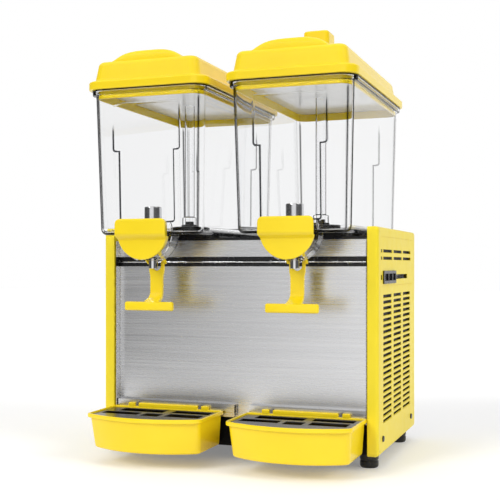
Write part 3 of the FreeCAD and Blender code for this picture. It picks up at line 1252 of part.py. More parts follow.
def make_lever(side, x):
    """The tap lever: pins, lift fingers, a yoke past the neck, a fork at the nozzle, the arm and the bar."""
    fork_half = LEVER_FORK_GAP / 2 + LEVER_PRONG
    yoke_in = LEVER_YOKE_HALF - LEVER_YOKE_PLATE
    hub = rod_x(x - LEVER_YOKE_HALF, x + LEVER_YOKE_HALF, PIVOT_Y, PIVOT_Z, LEVER_HUB_R)
    pin_half = LEVER_SLOT_HALF + PIVOT_EAR - RUN_GAP
    pins = rod_x(x - pin_half, x + pin_half, PIVOT_Y, PIVOT_Z, PIVOT_PIN_R)
    pieces = [hub, pins]
    fork_z = PIVOT_Z - LEVER_FORK_DROP
    arm_top = (LEVER_ARM_Y, fork_z)
    shoulder = (LEVER_ARM_Y, PIVOT_Z - LEVER_YOKE_DROP)
    for sign in (-1, 1):
        x0, x1 = sorted((x + sign * PISTON_WEB_GAP, x + sign * LEVER_TIP_OUT))
        pieces.append(strap([(PIVOT_Y, PIVOT_Z), (TAP_Y, PIVOT_Z)], 2 * LEVER_TIP_R, x0, x1))
        x0, x1 = sorted((x + sign * yoke_in, x + sign * LEVER_YOKE_HALF))
        pieces.append(strap([(PIVOT_Y, PIVOT_Z), shoulder], LEVER_PRONG_THICKNESS, x0, x1))
        x0, x1 = sorted((x + sign * LEVER_FORK_GAP / 2, x + sign * LEVER_YOKE_HALF))
        pieces.append(rod_x(x0, x1, shoulder[0], shoulder[1], LEVER_PRONG_THICKNESS / 2))
        x0, x1 = sorted((x + sign * LEVER_FORK_GAP / 2, x + sign * fork_half))
        pieces.append(strap([shoulder, arm_top], LEVER_PRONG_THICKNESS, x0, x1))
    arm_half = LEVER_ARM_WIDTH / 2
    knee_z = PIVOT_Z - LEVER_KNEE_DROP
    bar_z = PIVOT_Z - LEVER_BAR_DROP
    pieces.append(strap([arm_top, (LEVER_ARM_Y, knee_z)], LEVER_ARM_THICKNESS, x - fork_half, x + fork_half)
                  .common(block(x - fork_half, x + fork_half, LEVER_ARM_Y - LEVER_ARM_THICKNESS,
                                LEVER_ARM_Y + LEVER_ARM_THICKNESS, fork_z - LEVER_SHOULDER, PIVOT_Z)))
    pieces.append(strap([arm_top, (LEVER_ARM_Y, knee_z), (BAR_Y, bar_z)], LEVER_ARM_THICKNESS,
                        x - arm_half, x + arm_half))
    bar = block(x - BAR_WIDTH / 2, x + BAR_WIDTH / 2, BAR_Y - BAR_THICKNESS / 2, BAR_Y + BAR_THICKNESS / 2,
                bar_z - BAR_HEIGHT / 2, bar_z + BAR_HEIGHT / 2)
    bar = bar.makeFillet(BAR_R, bar.Edges)
    pieces.append(bar)
    save(side + "_tap_lever", join(pieces))


def cover_profile(x, y0, y1, grow):
    """The cover's outline along Y, narrower at the back: a round-cornered block above, a half disc below."""
    z_mid = TANK_BOTTOM_Z + COVER_ARC_RISE
    crease = TANK_BOTTOM_Z - COVER_CREASE_DOWN
    half = COVER_WIDTH / 2 + grow
    top = TANK_BOTTOM_Z + COVER_TOP_UP + grow
    front_half = half - COVER_SIDE_DRAFT * (y0 - COVER_FACE_Y) / COVER_DEPTH
    rear_half = half - COVER_SIDE_DRAFT * (y1 - COVER_FACE_Y) / COVER_DEPTH
    low = crease - grow
    outline = [point(x - front_half, y0, low), point(x + front_half, y0, low), point(x + rear_half, y1, low),
               point(x - rear_half, y1, low)]
    upper = polygon_prism(outline, point(0, 0, top - low))
    tall = []
    for edge in upper.Edges:
        box = edge.BoundBox
        if box.YLength > 1 and box.ZMin > top - NEAR:
            tall.append(edge)
    upper = upper.makeFillet(COVER_BLOCK_R + grow, tall)
    front_r = COVER_R + grow - COVER_DISC_DRAFT * (y0 - COVER_DISC_Y) / COVER_DISC_DEPTH
    rear_r = COVER_R + grow - COVER_DISC_DRAFT * (y1 - COVER_DISC_Y) / COVER_DISC_DEPTH
    disc = Part.makeCone(front_r, rear_r, y1 - y0, point(x, y0, z_mid), Y_AXIS)
    lower = disc.common(block(x - half, x + half, y0, y1, z_mid - COVER_R - grow, crease))
    return upper, lower


def cover_slope(x, lift):
    """The wedge to cut away below the cover's block, so that its underside climbs towards the front."""
    low = TANK_BOTTOM_Z - COVER_CREASE_DOWN + lift
    x0 = x - COVER_WIDTH
    outline = [point(x0, COVER_DISC_Y, low), point(x0, COVER_FACE_Y, low + COVER_SLOPE_RISE),
               point(x0, COVER_FACE_Y - 1, low + COVER_SLOPE_RISE), point(x0, COVER_FACE_Y - 1, low - 1),
               point(x0, COVER_DISC_Y, low - 1)]
    return polygon_prism(outline, point(2 * COVER_WIDTH, 0, 0))


def make_tap_cover(side, x):
    """The yellow cover over the tap, a shell that is open at the back."""
    wall = COVER_WALL
    upper, _ = cover_profile(x, COVER_FACE_Y, BOSS_FRONT_Y, 0)
    upper = upper.cut(cover_slope(x, 0))
    _, lower = cover_profile(x, COVER_DISC_Y, BOSS_FRONT_Y, 0)
    outer = join([upper, lower])
    front_edges = []
    for edge in outer.Edges:
        box = edge.BoundBox
        if abs(box.YMin - COVER_FACE_Y) < NEAR and abs(box.YMax - COVER_FACE_Y) < NEAR:
            front_edges.append(edge)
    outer = outer.makeFillet(COVER_EDGE_R, front_edges)
    inner_upper, _ = cover_profile(x, COVER_FACE_Y + wall, BOSS_FRONT_Y + 1, -wall)
    inner_upper = inner_upper.cut(cover_slope(x, wall))
    _, inner_lower = cover_profile(x, COVER_DISC_Y + wall, BOSS_FRONT_Y + 1, -wall)
    shelf = COVER_DISC_Y + wall
    bridge = block(x - COVER_BRIDGE_HALF, x + COVER_BRIDGE_HALF, shelf, BOSS_FRONT_Y + 1,
                   TANK_BOTTOM_Z - COVER_CREASE_DOWN - 2 * wall, TANK_BOTTOM_Z)
    save(side + "_tap_cover", cut(outer, [inner_upper, inner_lower, bridge]).removeSplitter())


# Lids

def crown_profile(x, y0, y1, shrink):
    """The lid's low crown: a smooth hump across X, pushed along Y."""
    half = CROWN_HALF - shrink
    rise = CROWN_RISE - shrink
    points = []
    for share in CROWN_SHARES:
        height = rise * math.sqrt(1 - abs(share) ** CROWN_POWER)
        points.append(point(x + half * share, y0, CROWN_Z + height))
    curve = Part.BSplineCurve()
    curve.interpolate(points)
    low = CROWN_Z - LID_WALL - 1
    base = [points[-1], point(x + half, y0, low), point(x - half, y0, low), points[0]]
    edges = [curve.toShape()]
    for start, end in zip(base, base[1:]):
        edges.append(Part.LineSegment(start, end).toShape())
    return Part.Face(Part.Wire(edges)).extrude(point(0, y1 - y0, 0))


def make_lid(side, x):
    """The lid: a broad rim, a raised box with a crown and a skirt. A knob stands on some of the crowns."""
    wall = LID_WALL
    rim = rounded_block(x, 0, RIM_Z, BOX_Z, LID_WIDTH, LID_DEPTH, LID_R)
    top_edges = edges_at_height(rim, BOX_Z)
    rim = rim.makeFillet(LID_RIM_EDGE_R, top_edges)
    draft = 2 * LID_BOX_DRAFT
    base = (LID_BOX_MID_Y, BOX_Z - wall, LID_BOX_WIDTH, LID_BOX_DEPTH, LID_BOX_R)
    crest = edge_sections(LID_BOX_MID_Y, CROWN_Z, LID_BOX_WIDTH - draft, LID_BOX_DEPTH - draft, LID_BOX_R,
                          LID_EDGE_R, 1)
    box = rounded_loft(x, [base] + crest)
    crown_y0 = LID_BOX_FRONT_Y + CROWN_SETBACK
    crown_y1 = LID_BOX_REAR_Y - CROWN_SETBACK
    crown = crown_profile(x, crown_y0, crown_y1, 0)
    knob = rounded_block(x, KNOB_CENTRE_Y, CROWN_Z, KNOB_TOP_Z, KNOB_WIDTH, KNOB_DEPTH, KNOB_R)
    knob = knob.makeFillet(KNOB_EDGE_R, edges_at_height(knob, KNOB_TOP_Z))
    skirt_w = TANK_TOP_WIDTH - 2 * (TANK_WALL + LID_SKIRT_GAP)
    skirt_d = TANK_TOP_DEPTH - 2 * (TANK_WALL + LID_SKIRT_GAP)
    skirt_r = TANK_TOP_R - TANK_WALL
    skirt = rounded_block(x, 0, SEAM_Z - LID_SKIRT, RIM_Z + wall, skirt_w, skirt_d, skirt_r)
    body = rim.fuse([box, crown, skirt])
    inner_w = skirt_w - 2 * LID_SKIRT_WALL
    inner_d = skirt_d - 2 * LID_SKIRT_WALL
    throat = rounded_block(x, 0, SEAM_Z - LID_SKIRT - 1, BOX_Z, inner_w, inner_d, skirt_r - LID_SKIRT_WALL)
    channel = rounded_block(x, 0, RIM_Z + wall, BOX_Z - wall, LID_WIDTH - 2 * wall, LID_DEPTH - 2 * wall,
                            LID_R - wall)
    low = (LID_BOX_MID_Y, BOX_Z - wall - 1, LID_BOX_WIDTH - 2 * wall, LID_BOX_DEPTH - 2 * wall,
           LID_BOX_R - wall)
    high = (LID_BOX_MID_Y, CROWN_Z - wall, LID_BOX_WIDTH - 2 * wall - draft, LID_BOX_DEPTH - 2 * wall - draft,
            LID_BOX_R - wall)
    hollow = rounded_loft(x, [low, high])
    inner_crown = crown_profile(x, crown_y0 + wall, crown_y1 - wall, wall)
    socket = rounded_block(x, KNOB_CENTRE_Y, CROWN_Z - wall, KNOB_TOP_Z - 2 * wall, KNOB_WIDTH - 2 * wall,
                           KNOB_DEPTH - 2 * wall, KNOB_R - wall)
    spaces = [throat, channel, hollow, inner_crown]
    if side in KNOB_SIDES:
        body = body.fuse(knob)
        spaces.append(socket)
    body = cut(body, spaces)
    save(side + "_lid", body.removeSplitter())
    liner = rounded_loft(x, [(LID_BOX_MID_Y, CROWN_Z - wall - LINER_THICKNESS, LID_BOX_WIDTH - LINER_INSET,
                              LID_BOX_DEPTH - LINER_INSET, LID_BOX_R - wall),
                             (LID_BOX_MID_Y, CROWN_Z - wall, LID_BOX_WIDTH - LINER_INSET,
                              LID_BOX_DEPTH - LINER_INSET, LID_BOX_R - wall)])
    save(side + "_lid_liner", liner)
    seal_w = TANK_TOP_WIDTH + 2 * LIP_WIDTH
    seal_d = TANK_TOP_DEPTH + 2 * LIP_WIDTH
    seal = rounded_block(x, 0, SEAM_Z, RIM_Z, seal_w, seal_d, TANK_TOP_R + LIP_WIDTH)
    seal_hole = rounded_block(x, 0, SEAM_Z - 1, RIM_Z + 1, seal_w - 2 * LID_SEAL_WIDTH,
                              seal_d - 2 * LID_SEAL_WIDTH, TANK_TOP_R + LIP_WIDTH - LID_SEAL_WIDTH)
    save(side + "_lid_gasket", seal.cut(seal_hole))


# Drip trays

def tray_wire(x, z, half, rear_y, corner_y, apex_y):
    """The tray's level outline: straight at the back and sides, with a long arc at the front."""
    rear_left = point(x - half, rear_y, z)
    rear_right = point(x + half, rear_y, z)
    front_right = point(x + half, corner_y, z)
    front_left = point(x - half, corner_y, z)
    return Part.Wire([Part.LineSegment(rear_left, rear_right).toShape(),
                      Part.LineSegment(rear_right, front_right).toShape(),
                      Part.Arc(front_right, point(x, apex_y, z), front_left).toShape(),
                      Part.LineSegment(front_left, rear_left).toShape()])


def tray_prism(x, z0, z1, half, rear_y, corner_y, apex_y):
    return Part.Face(tray_wire(x, z0, half, rear_y, corner_y, apex_y)).extrude(point(0, 0, z1 - z0))


def upright_edges(shape, least_height, front_of):
    """Edges that climb at least a given height and lie in front of a given Y."""
    chosen = []
    for edge in shape.Edges:
        box = edge.BoundBox
        if box.ZLength > least_height and box.YMax < front_of:
            chosen.append(edge)
    return chosen


def make_tray(side, x):
    """The yellow drip tray, with a rim, a ledge for the grate and a hooked bar along its back."""
    rear = TRAY_WALL_REAR_Y
    top_half = TRAY_WIDTH / 2
    wall_half = top_half - TRAY_RIM
    low_half = wall_half - TRAY_DRAFT_X
    rim_z = TRAY_TOP_Z - TRAY_RIM_HEIGHT
    apex = TRAY_APEX_Y
    corner = TRAY_CORNER_Y
    low_wire = tray_wire(x, TRAY_BOTTOM_Z, low_half, rear, corner + TRAY_RIM + TRAY_DRAFT_FRONT,
                         apex + TRAY_RIM + TRAY_DRAFT_FRONT)
    high_wire = tray_wire(x, TRAY_TOP_Z, wall_half, rear, corner + TRAY_RIM, apex + TRAY_RIM)
    body = Part.makeLoft([low_wire, high_wire], True, True)
    body = body.makeFillet(TRAY_CORNER_R, upright_edges(body, TRAY_RIM_HEIGHT, corner + TRAY_HEIGHT))
    body = body.makeFillet(TRAY_FOOT_R, edges_at_height(body, TRAY_BOTTOM_Z))
    rim = tray_prism(x, rim_z, TRAY_TOP_Z, top_half, rear, corner, apex)
    rim = rim.makeFillet(TRAY_CORNER_R, upright_edges(rim, TRAY_RIM_HEIGHT - 1, corner + TRAY_HEIGHT))
    wall = TRAY_WALL
    inner_rear = rear - wall
    low_in = tray_wire(x, TRAY_BOTTOM_Z + wall, low_half - wall, inner_rear,
                       corner + TRAY_RIM + TRAY_DRAFT_FRONT + wall, apex + TRAY_RIM + TRAY_DRAFT_FRONT + wall)
    high_in = tray_wire(x, TRAY_TOP_Z + 1, wall_half - wall, inner_rear, corner + TRAY_RIM + wall,
                        apex + TRAY_RIM + wall)
    cavity = Part.makeLoft([low_in, high_in], True, True)
    corner_edges = upright_edges(cavity, TRAY_RIM_HEIGHT, corner + TRAY_HEIGHT)
    cavity = cavity.makeFillet(TRAY_CORNER_R - wall, corner_edges)
    ledge_z = GRATE_TOP_Z - GRATE_THICKNESS
    seat = tray_prism(x, ledge_z, TRAY_TOP_Z + 1, wall_half, inner_rear, corner + TRAY_RIM, apex + TRAY_RIM)
    seat = seat.makeFillet(TRAY_CORNER_R, upright_edges(seat, 1, corner + TRAY_HEIGHT))
    body = cut(join([body, rim]), [cavity, seat])
    shelf_z = TRAY_TOP_Z - TRAY_SHELF
    pieces = [body]
    for sign in (-1, 1):
        x0, x1 = sorted((x + sign * TRAY_BAR_HALF, x + sign * (wall_half - 1)))
        pieces.append(block(x0, x1, rear - 1, TRAY_REAR_Y, shelf_z, TRAY_TOP_Z))
    bar_z1 = TRAY_TOP_Z + TRAY_BAR_RISE
    bar_under = bar_z1 - TRAY_BAR_PLATE
    back = block(x - TRAY_BAR_HALF, x + TRAY_BAR_HALF, inner_rear, rear, TRAY_TOP_Z - 1, bar_z1)
    plate = block(x - TRAY_BAR_HALF, x + TRAY_BAR_HALF, inner_rear, TRAY_REAR_Y, bar_under, bar_z1)
    tongue = block(x - TRAY_BAR_HALF, x + TRAY_BAR_HALF, TRAY_REAR_Y - TRAY_TONGUE, TRAY_REAR_Y,
                   bar_under - TRAY_TONGUE_DROP, bar_under)
    pieces += [back, plate, tongue]
    pads = [block(x + dx - TRAY_BUFFER, x + dx + TRAY_BUFFER, rear - 1, PANEL_Y - RUN_GAP,
                  TRAY_BOTTOM_Z + TRAY_FOOT_R, TRAY_BOTTOM_Z + TRAY_FOOT_R + TRAY_BUFFER)
            for dx in (-TRAY_BAR_HALF, TRAY_BAR_HALF)]
    body = join(pieces + pads)
    notches = []
    for sign in (-1, 1):
        mid = x + sign * HOOK_OFFSET
        notches.append(block(mid - TRAY_NOTCH / 2, mid + TRAY_NOTCH / 2, inner_rear - 1, TRAY_REAR_Y + 1,
                             TRAY_TOP_Z, bar_z1 + 1))
    save(side + "_drip_tray", cut(body, notches).removeSplitter())


def make_grate(side, x):
    """The drip grate: a flat plate with long slots that rests on the tray's ledge."""
    half = TRAY_WIDTH / 2 - TRAY_RIM - GRATE_GAP
    rear = TRAY_WALL_REAR_Y - TRAY_WALL - GRATE_GAP
    corner = TRAY_CORNER_Y + TRAY_RIM + GRATE_GAP
    apex = TRAY_APEX_Y + TRAY_RIM + GRATE_GAP
    z0 = GRATE_TOP_Z - GRATE_THICKNESS
    plate = tray_prism(x, z0, GRATE_TOP_Z, half, rear, corner, apex)
    plate = plate.makeFillet(TRAY_CORNER_R, upright_edges(plate, 1, corner + TRAY_HEIGHT))
    cutters = []
    for dx0, dx1, dy0, dy1 in GRATE_SLOTS:
        slot = block(x + dx0, x + dx1, rear - dy1, rear - dy0, z0 - 1, GRATE_TOP_Z + 1)
        corners = [edge for edge in slot.Edges if edge.BoundBox.ZLength > 1]
        cutters.append(slot.makeFillet(GRATE_SLOT_R, corners))
    save(side + "_drip_grate", cut(plate, cutters))


def make_tray_brackets():
    """Two stainless ledges on the lower panel, each with turned-up hooks that a tray hangs on."""
    top = LOWER_PANEL_BOTTOM + BRACKET_HEIGHT
    front = PANEL_Y - BRACKET_DEPTH
    outer = PANEL_HALF - BRACKET_OUTER_GAP
    hook_top = TRAY_TOP_Z + TRAY_BAR_RISE - TRAY_BAR_PLATE
    leg_front = TRAY_WALL_REAR_Y + RUN_GAP
    leg_back = leg_front + HOOK_SHEET
    low = LOWER_PANEL_BOTTOM + HOOK_UP
    brackets = []
    for x, x0, x1 in ((TANK_XS[0], -outer, BRACKET_LEFT_END), (TANK_XS[1], BRACKET_RIGHT_START, outer)):
        ledge = block(x0, x1, front, PANEL_Y, LOWER_PANEL_BOTTOM, top)
        inside = block(x0 - 1, x1 + 1, front + HOOK_SHEET, PANEL_Y - HOOK_SHEET,
                       LOWER_PANEL_BOTTOM - 1, top - HOOK_SHEET)
        pieces = [ledge.cut(inside)]
        for sign in (-1, 1):
            mid = x + sign * HOOK_OFFSET
            hx0 = mid - HOOK_LENGTH / 2
            hx1 = mid + HOOK_LENGTH / 2
            pieces.append(block(hx0, hx1, leg_front, front, low, low + HOOK_SHEET))
            pieces.append(block(hx0, hx1, leg_front, leg_back, low, hook_top))
            pieces.append(block(mid - HOOK_WIDTH / 2, mid + HOOK_WIDTH / 2, leg_front, leg_back,
                                hook_top, hook_top + HOOK_RISE))
        brackets.append(join(pieces))
    save("tray_brackets", Part.makeCompound(brackets))


def build_all():
    make_side_panels()
    make_front()
    make_deck()
    make_base()
    make_feet()
    make_screws()
    make_rear_panel()
    make_inlet()
    make_switch_plate()
    make_rockers()
    make_seats()
    make_pump_motors()
    make_magnet_drivers()
    make_compressor()
    make_condenser()
    make_fan()
    make_pipes()
    make_tray_brackets()
    for side, x in zip(SIDES, TANK_XS):
        make_tank(side, x)
        make_pump(side, x)
        make_tap_body(side, x)
        make_valve(side, x)
        make_lever(side, x)
        make_tap_cover(side, x)
        make_lid(side, x)
        make_tray(side, x)
        make_grate(side, x)


os.makedirs("parts", exist_ok=True)
build_all()
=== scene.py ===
import json
import math

import bpy
import numpy as np
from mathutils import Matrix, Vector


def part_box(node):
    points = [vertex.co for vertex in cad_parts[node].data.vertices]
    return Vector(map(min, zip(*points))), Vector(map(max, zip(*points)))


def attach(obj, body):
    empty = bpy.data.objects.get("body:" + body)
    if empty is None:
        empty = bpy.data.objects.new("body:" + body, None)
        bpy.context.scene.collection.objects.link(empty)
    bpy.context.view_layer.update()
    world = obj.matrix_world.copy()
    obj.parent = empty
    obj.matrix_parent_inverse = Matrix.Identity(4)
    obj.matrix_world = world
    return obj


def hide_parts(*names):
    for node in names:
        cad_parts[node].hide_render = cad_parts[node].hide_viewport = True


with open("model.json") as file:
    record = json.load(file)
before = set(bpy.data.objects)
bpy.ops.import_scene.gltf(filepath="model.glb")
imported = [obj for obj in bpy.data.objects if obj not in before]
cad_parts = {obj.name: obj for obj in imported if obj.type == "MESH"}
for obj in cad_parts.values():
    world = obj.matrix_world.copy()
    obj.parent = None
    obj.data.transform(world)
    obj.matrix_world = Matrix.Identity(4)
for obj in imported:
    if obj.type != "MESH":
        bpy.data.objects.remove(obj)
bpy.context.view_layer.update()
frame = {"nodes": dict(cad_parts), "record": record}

# Lengths are in millimetres, in the part's own frame, and become metres when a mesh is made.
MM = 0.001
SIDES = (("left", -108.15), ("right", 108.15))


def heights_of(node):
    """The lowest and the highest z of a node of the frame."""
    return (corner[2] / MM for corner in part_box(node))


# Heights that several pieces share, read from the frame where it holds them
TANK_BOTTOM, SEAM = heights_of("left_tank")
TANK_FLOOR = TANK_BOTTOM + 4.0
TANK_WALL = 3.0
RIM_TOP = SEAM + 14.0
BOX_TOP = RIM_TOP + 29.0
BASE, SIDE_TOP = heights_of("left_side_panel")
TRAY_BOTTOM, _ = heights_of("left_drip_tray")
GRATE_TOP = TRAY_BOTTOM + 49.0
PIVOT_Z = TANK_BOTTOM - 20.0

# Places along Y: the lever's pivot, the tap, the knob, the steel plates' front, the trays' rear
PIVOT_Y, TAP_Y, KNOB_Y, PANEL_Y, TRAY_REAR = -152.0, -134.0, -10.0, -69.0, -83.0
# The side panels' outer face along X, and the front posts' inner face along X and front along Y
SIDE_OUT, POST_IN, POST_FRONT = 215.0, 198.5, -85.0

QUARTER = math.pi / 2
MOST_FACES = 8  # that meet at one vertex of any mesh below


# Surfaces

def grid_quads(rows, cols, loop_rows=False, loop_cols=True):
    """Quads over a grid of rows by cols points: (i, j), (i, j+1), (i+1, j+1), (i+1, j), all at once."""
    i = np.arange(rows if loop_rows else rows - 1)[:, None]
    j = np.arange(cols if loop_cols else cols - 1)[None, :]
    up, right = (i + 1) % rows, (j + 1) % cols
    return np.stack([i * cols + j, i * cols + right, up * cols + right, up * cols + j], -1).reshape(-1, 4)


def facing_out(points, quads, caps=(), extra=None):
    """Turns all faces round when the signed volume, the sum of a.(b x c)/6 over triangles, is negative."""
    triangles = [quads[:, [0, 1, 2]], quads[:, [0, 2, 3]]]
    for cap in caps:
        triangles.append(np.stack([np.full(len(cap) - 2, cap[0]), cap[1:-1], cap[2:]], -1))
    a, b, c = (points[np.concatenate(triangles)[:, k]] - points.mean(0) for k in range(3))
    if np.einsum("ij,ij->i", a, np.cross(b, c)).sum() < 0:
        quads = quads[:, ::-1]
        caps = [cap[::-1] for cap in caps]
    return points, quads, list(caps), extra


def skin(rings, loop=False, extra=None):
    """A closed skin through rings, an array of (levels, points, 3). With loop the last ring joins the first,
    and without it a flat face closes each end."""
    levels, count = rings.shape[:2]
    first = np.arange(count)
    caps = [] if loop else [first[::-1], first + (levels - 1) * count]
    return facing_out(rings.reshape(-1, 3), grid_quads(levels, count, loop_rows=loop), caps, extra)


def swept(section, stops, axis="z"):
    """A closed section in the plane across an axis, carried straight along it: one ring at each stop. The
    section's pairs are (x, y) for z, (y, z) for x and (x, z) for y."""
    u = section[None, :, 0] + 0 * np.asarray(stops, float)[:, None]
    v = section[None, :, 1] + 0 * u
    w = np.asarray(stops, float)[:, None] + 0 * u
    return skin(np.stack({"z": (u, v, w), "x": (w, u, v), "y": (u, w, v)}[axis], -1))


def raised(rows, height, shift=0.0):
    """Levels from rows of (z, half width, half depth, corner radius), z counted from a height, and a shift in
    Y for all or for each."""
    rows = np.array(rows, float)
    return np.column_stack([rows, 0 * rows[:, 0] + shift]) + np.array([height, 0, 0, 0, 0])


def softened(points, radii, steps=5, closed=True):
    """A flat polyline with its corners rounded: near a corner C the line is (1-t)^2 A + 2t(1-t) C + t^2 B,
    where A and B lie one radius before and after C."""
    points = np.asarray(points, float)
    radii = np.broadcast_to(np.asarray(radii, float), len(points))[:, None]
    before, after = (np.roll(points, shift, 0) - points for shift in (1, -1))
    before /= np.linalg.norm(before, axis=1, keepdims=True) + 1e-12
    after /= np.linalg.norm(after, axis=1, keepdims=True) + 1e-12
    start = points + before * radii
    end = points + after * radii
    t = np.linspace(0, 1, steps + 1)[None, :, None]
    curve = (1 - t) ** 2 * start[:, None] + 2 * t * (1 - t) * points[:, None] + t ** 2 * end[:, None]
    if closed:
        return curve.reshape(-1, points.shape[1])
    middle = curve[1:-1].reshape(-1, points.shape[1])
    return np.concatenate([points[:1], middle, points[-1:]])


def rounded_rings(x, levels, stops=(), turns=None):
    """Level rectangles with round corners, one for each (z, half width, half depth, corner radius, shift in Y):
    each corner is the arc centre + radius (cos a, sin a). Front and back also pass through the x stops."""
    z, half_x, half_y, radius, shift = (np.asarray(levels, float).T[:, :, None])
    turns = np.linspace(0, 1, 9) if turns is None else turns
    angle = turns[None, :] * QUARTER
    stops = np.asarray(stops, float)[None, :] + 0 * z
    parts = []
    for quarter, (sx, sy) in enumerate(((1, 1), (-1, 1), (-1, -1), (1, -1))):
        a = angle + quarter * QUARTER
        parts.append((sx * (half_x - radius) + radius * np.cos(a), sy * (half_y - radius) + radius * np.sin(a)))
        if sx == sy:
            parts.append((stops[:, ::-sy], 0 * stops + sy * half_y))
    across, along = (np.concatenate(part, 1) for part in zip(*parts))
    return np.stack([x + across, along + shift, across * 0 + z], -1)


def end_round(z, half_x, half_y, radius, shift, edge, up, steps=5):
    """Levels that round off an end at z: inset = edge (1 - sin a), height = z -+ edge (1 - cos a), for a from
    0 to 90 degrees."""
    a = np.linspace(0, QUARTER, steps + 1)
    inset = edge * (1 - np.sin(a))
    height = z - up * edge * (1 - np.cos(a))
    corner = np.maximum(radius - inset, 0.3)
    rows = np.stack([height, half_x - inset, half_y - inset, corner, shift + 0 * a], -1)
    return rows[::-1] if up > 0 else rows


def soft_box(x0, x1, y0, y1, z0, z1, radius, edge=None, turns=5):
    """A box with round corners in plan and round edges above and below."""
    edge = radius if edge is None else edge
    form = (x1 - x0) / 2, (y1 - y0) / 2, radius, (y0 + y1) / 2, edge
    levels = np.concatenate([end_round(z, *form, up, 3) for z, up in ((z0, -1), (z1, 1))])
    return skin(rounded_rings((x0 + x1) / 2, levels, turns=np.linspace(0, 1, turns)))


def turned(profile, centre, axis="z", steps=64, loop=False):
    """A profile of (radius, place) pairs turned round z or x: across = radius (cos a, sin a), along = place."""
    profile = np.asarray(profile, float)
    a = np.arange(steps) / steps * 2 * math.pi
    u = profile[:, :1] * np.cos(a)
    v = profile[:, :1] * np.sin(a)
    w = profile[:, 1:] + 0 * u
    order = (w, u, v) if axis == "x" else (u, v, w)
    return skin(np.stack(order, -1) + np.asarray(centre, float), loop=loop)


def rod(bore, radius, half, centre, turns=24, edge=0.5, edge_steps=2):
    """A rod along X with rounded ends, reaching half its length to each side, and a fine bore in each end."""
    profile = softened([(bore, -half), (radius, -half), (radius, half), (bore, half)], [0, edge, edge, 0],
                       edge_steps, closed=False)
    return turned(profile, centre, "x", turns)


def windowed(front, back, keep):
    """A wall between two grids of points of one size, (rows, cols, 3). keep says which cells are solid, and
    every border of a kept cell gets a face from front to back."""
    rows, cols = front.shape[:2]
    count = rows * cols
    points = np.concatenate([front.reshape(-1, 3), back.reshape(-1, 3)])
    quads = grid_quads(rows, cols, loop_cols=False).reshape(rows - 1, cols - 1, 4)
    solid = quads[keep]
    faces = [solid, solid[:, ::-1] + count]
    framed = np.zeros((rows + 1, cols + 1), bool)
    framed[1:-1, 1:-1] = keep
    neighbours = framed[:-2, 1:-1], framed[1:-1, 2:], framed[2:, 1:-1], framed[1:-1, :-2]
    for side, neighbour in enumerate(neighbours):
        edge = quads[keep & ~neighbour]
        start = edge[:, side]
        end = edge[:, (side + 1) % 4]
        faces.append(np.stack([end, start, start + count, end + count], -1))
    used, new = np.unique(np.concatenate(faces), return_inverse=True)
    return facing_out(points[used], new.reshape(-1, 4))


def flipped_x(shell):
    """The shell mirrored across the middle, with its faces turned round again."""
    points, quads, caps, extra = shell
    return facing_out(points * np.array([-1.0, 1.0, 1.0]), quads, caps, extra)


def crisp_normals(mesh, sharp):
    """Corner normals weighed by area: the sum of area times normal over those faces at the corner's vertex
    that are within the sharp angle of its own face, so that broad flats stay flat beside round edges."""
    count = len(mesh.polygons)
    normal, area = np.empty(count * 3, np.float32), np.empty(count, np.float32)
    corners, vertex = np.empty(count, np.int32), np.empty(len(mesh.loops), np.int32)
    mesh.polygons.foreach_get("normal", normal)
    mesh.polygons.foreach_get("area", area)
    mesh.polygons.foreach_get("loop_total", corners)
    mesh.loops.foreach_get("vertex_index", vertex)
    order = np.argsort(vertex, kind="stable")
    face = np.repeat(np.arange(count), corners)[order]
    vertex = vertex[order]
    own = normal.reshape(-1, 3)[face].astype(float)
    weighed = own * area[face][:, None]
    total = weighed.copy()
    for shift in range(1, MOST_FACES):
        near = (own[shift:] * own[:-shift]).sum(1) > math.cos(math.radians(sharp))
        pair = (near & (vertex[shift:] == vertex[:-shift]))[:, None]
        total[shift:] += weighed[:-shift] * pair
        total[:-shift] += weighed[shift:] * pair
    total /= np.maximum(np.linalg.norm(total, axis=1, keepdims=True), 1e-15)
    normals = np.empty_like(total)
    normals[order] = total
    mesh.normals_split_custom_set(normals.tolist())


def placed(name, data):
    """A new object at the origin, in the scene."""
    thing = bpy.data.objects.new(name, data)
    bpy.context.scene.collection.objects.link(thing)
    return thing


def make_piece(side, name, shells, body, slot, stands_for, sharp=32.0, bevel=0.0, special=None):
    """One object from several shells, in metres, smooth except where faces meet at more than the sharp angle.
    The names of a side's piece, of its body and of the node it stands for begin with that side."""
    prefix = side + "_" if side else ""
    name = prefix + name
    points = np.concatenate([shell[0] for shell in shells]) * MM
    starts = np.cumsum([0] + [len(shell[0]) for shell in shells[:-1]])
    faces = []
    for shell, start in zip(shells, starts):
        faces += (shell[1] + start).tolist()
        faces += [(cap + start).tolist() for cap in shell[2]]
    mesh = bpy.data.meshes.new(name)
    mesh.from_pydata(points.tolist(), [], faces)
    # The edge and curl attributes carry the masks for painted shade and painted dark rims in the finishes
    if any(shell[3] is not None for shell in shells):
        marks = [np.zeros((len(shell[0]), 2)) if shell[3] is None else shell[3] for shell in shells]
        for label, values in zip(("edge", "curl"), np.concatenate(marks).astype(np.float32).T):
            mesh.attributes.new(label, "FLOAT", "POINT").data.foreach_set("value", values.copy())
    mesh.shade_smooth()
    mesh.set_sharp_from_angle(angle=math.radians(sharp))
    mesh.update()
    if not bevel:
        crisp_normals(mesh, sharp)
    piece = placed(name, mesh)
    if bevel:
        rounding = piece.modifiers.new("soft edges", "BEVEL")
        rounding.width = bevel * MM
        rounding.segments = 3
        rounding.limit_method = "ANGLE"
        rounding.angle_limit = math.radians(40)
    mesh.materials.append(special or finishes[slot])
    if body != "cabinet":
        body = prefix + body + "_body"
    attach(piece, body)
    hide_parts(prefix + stands_for)


# Finishes

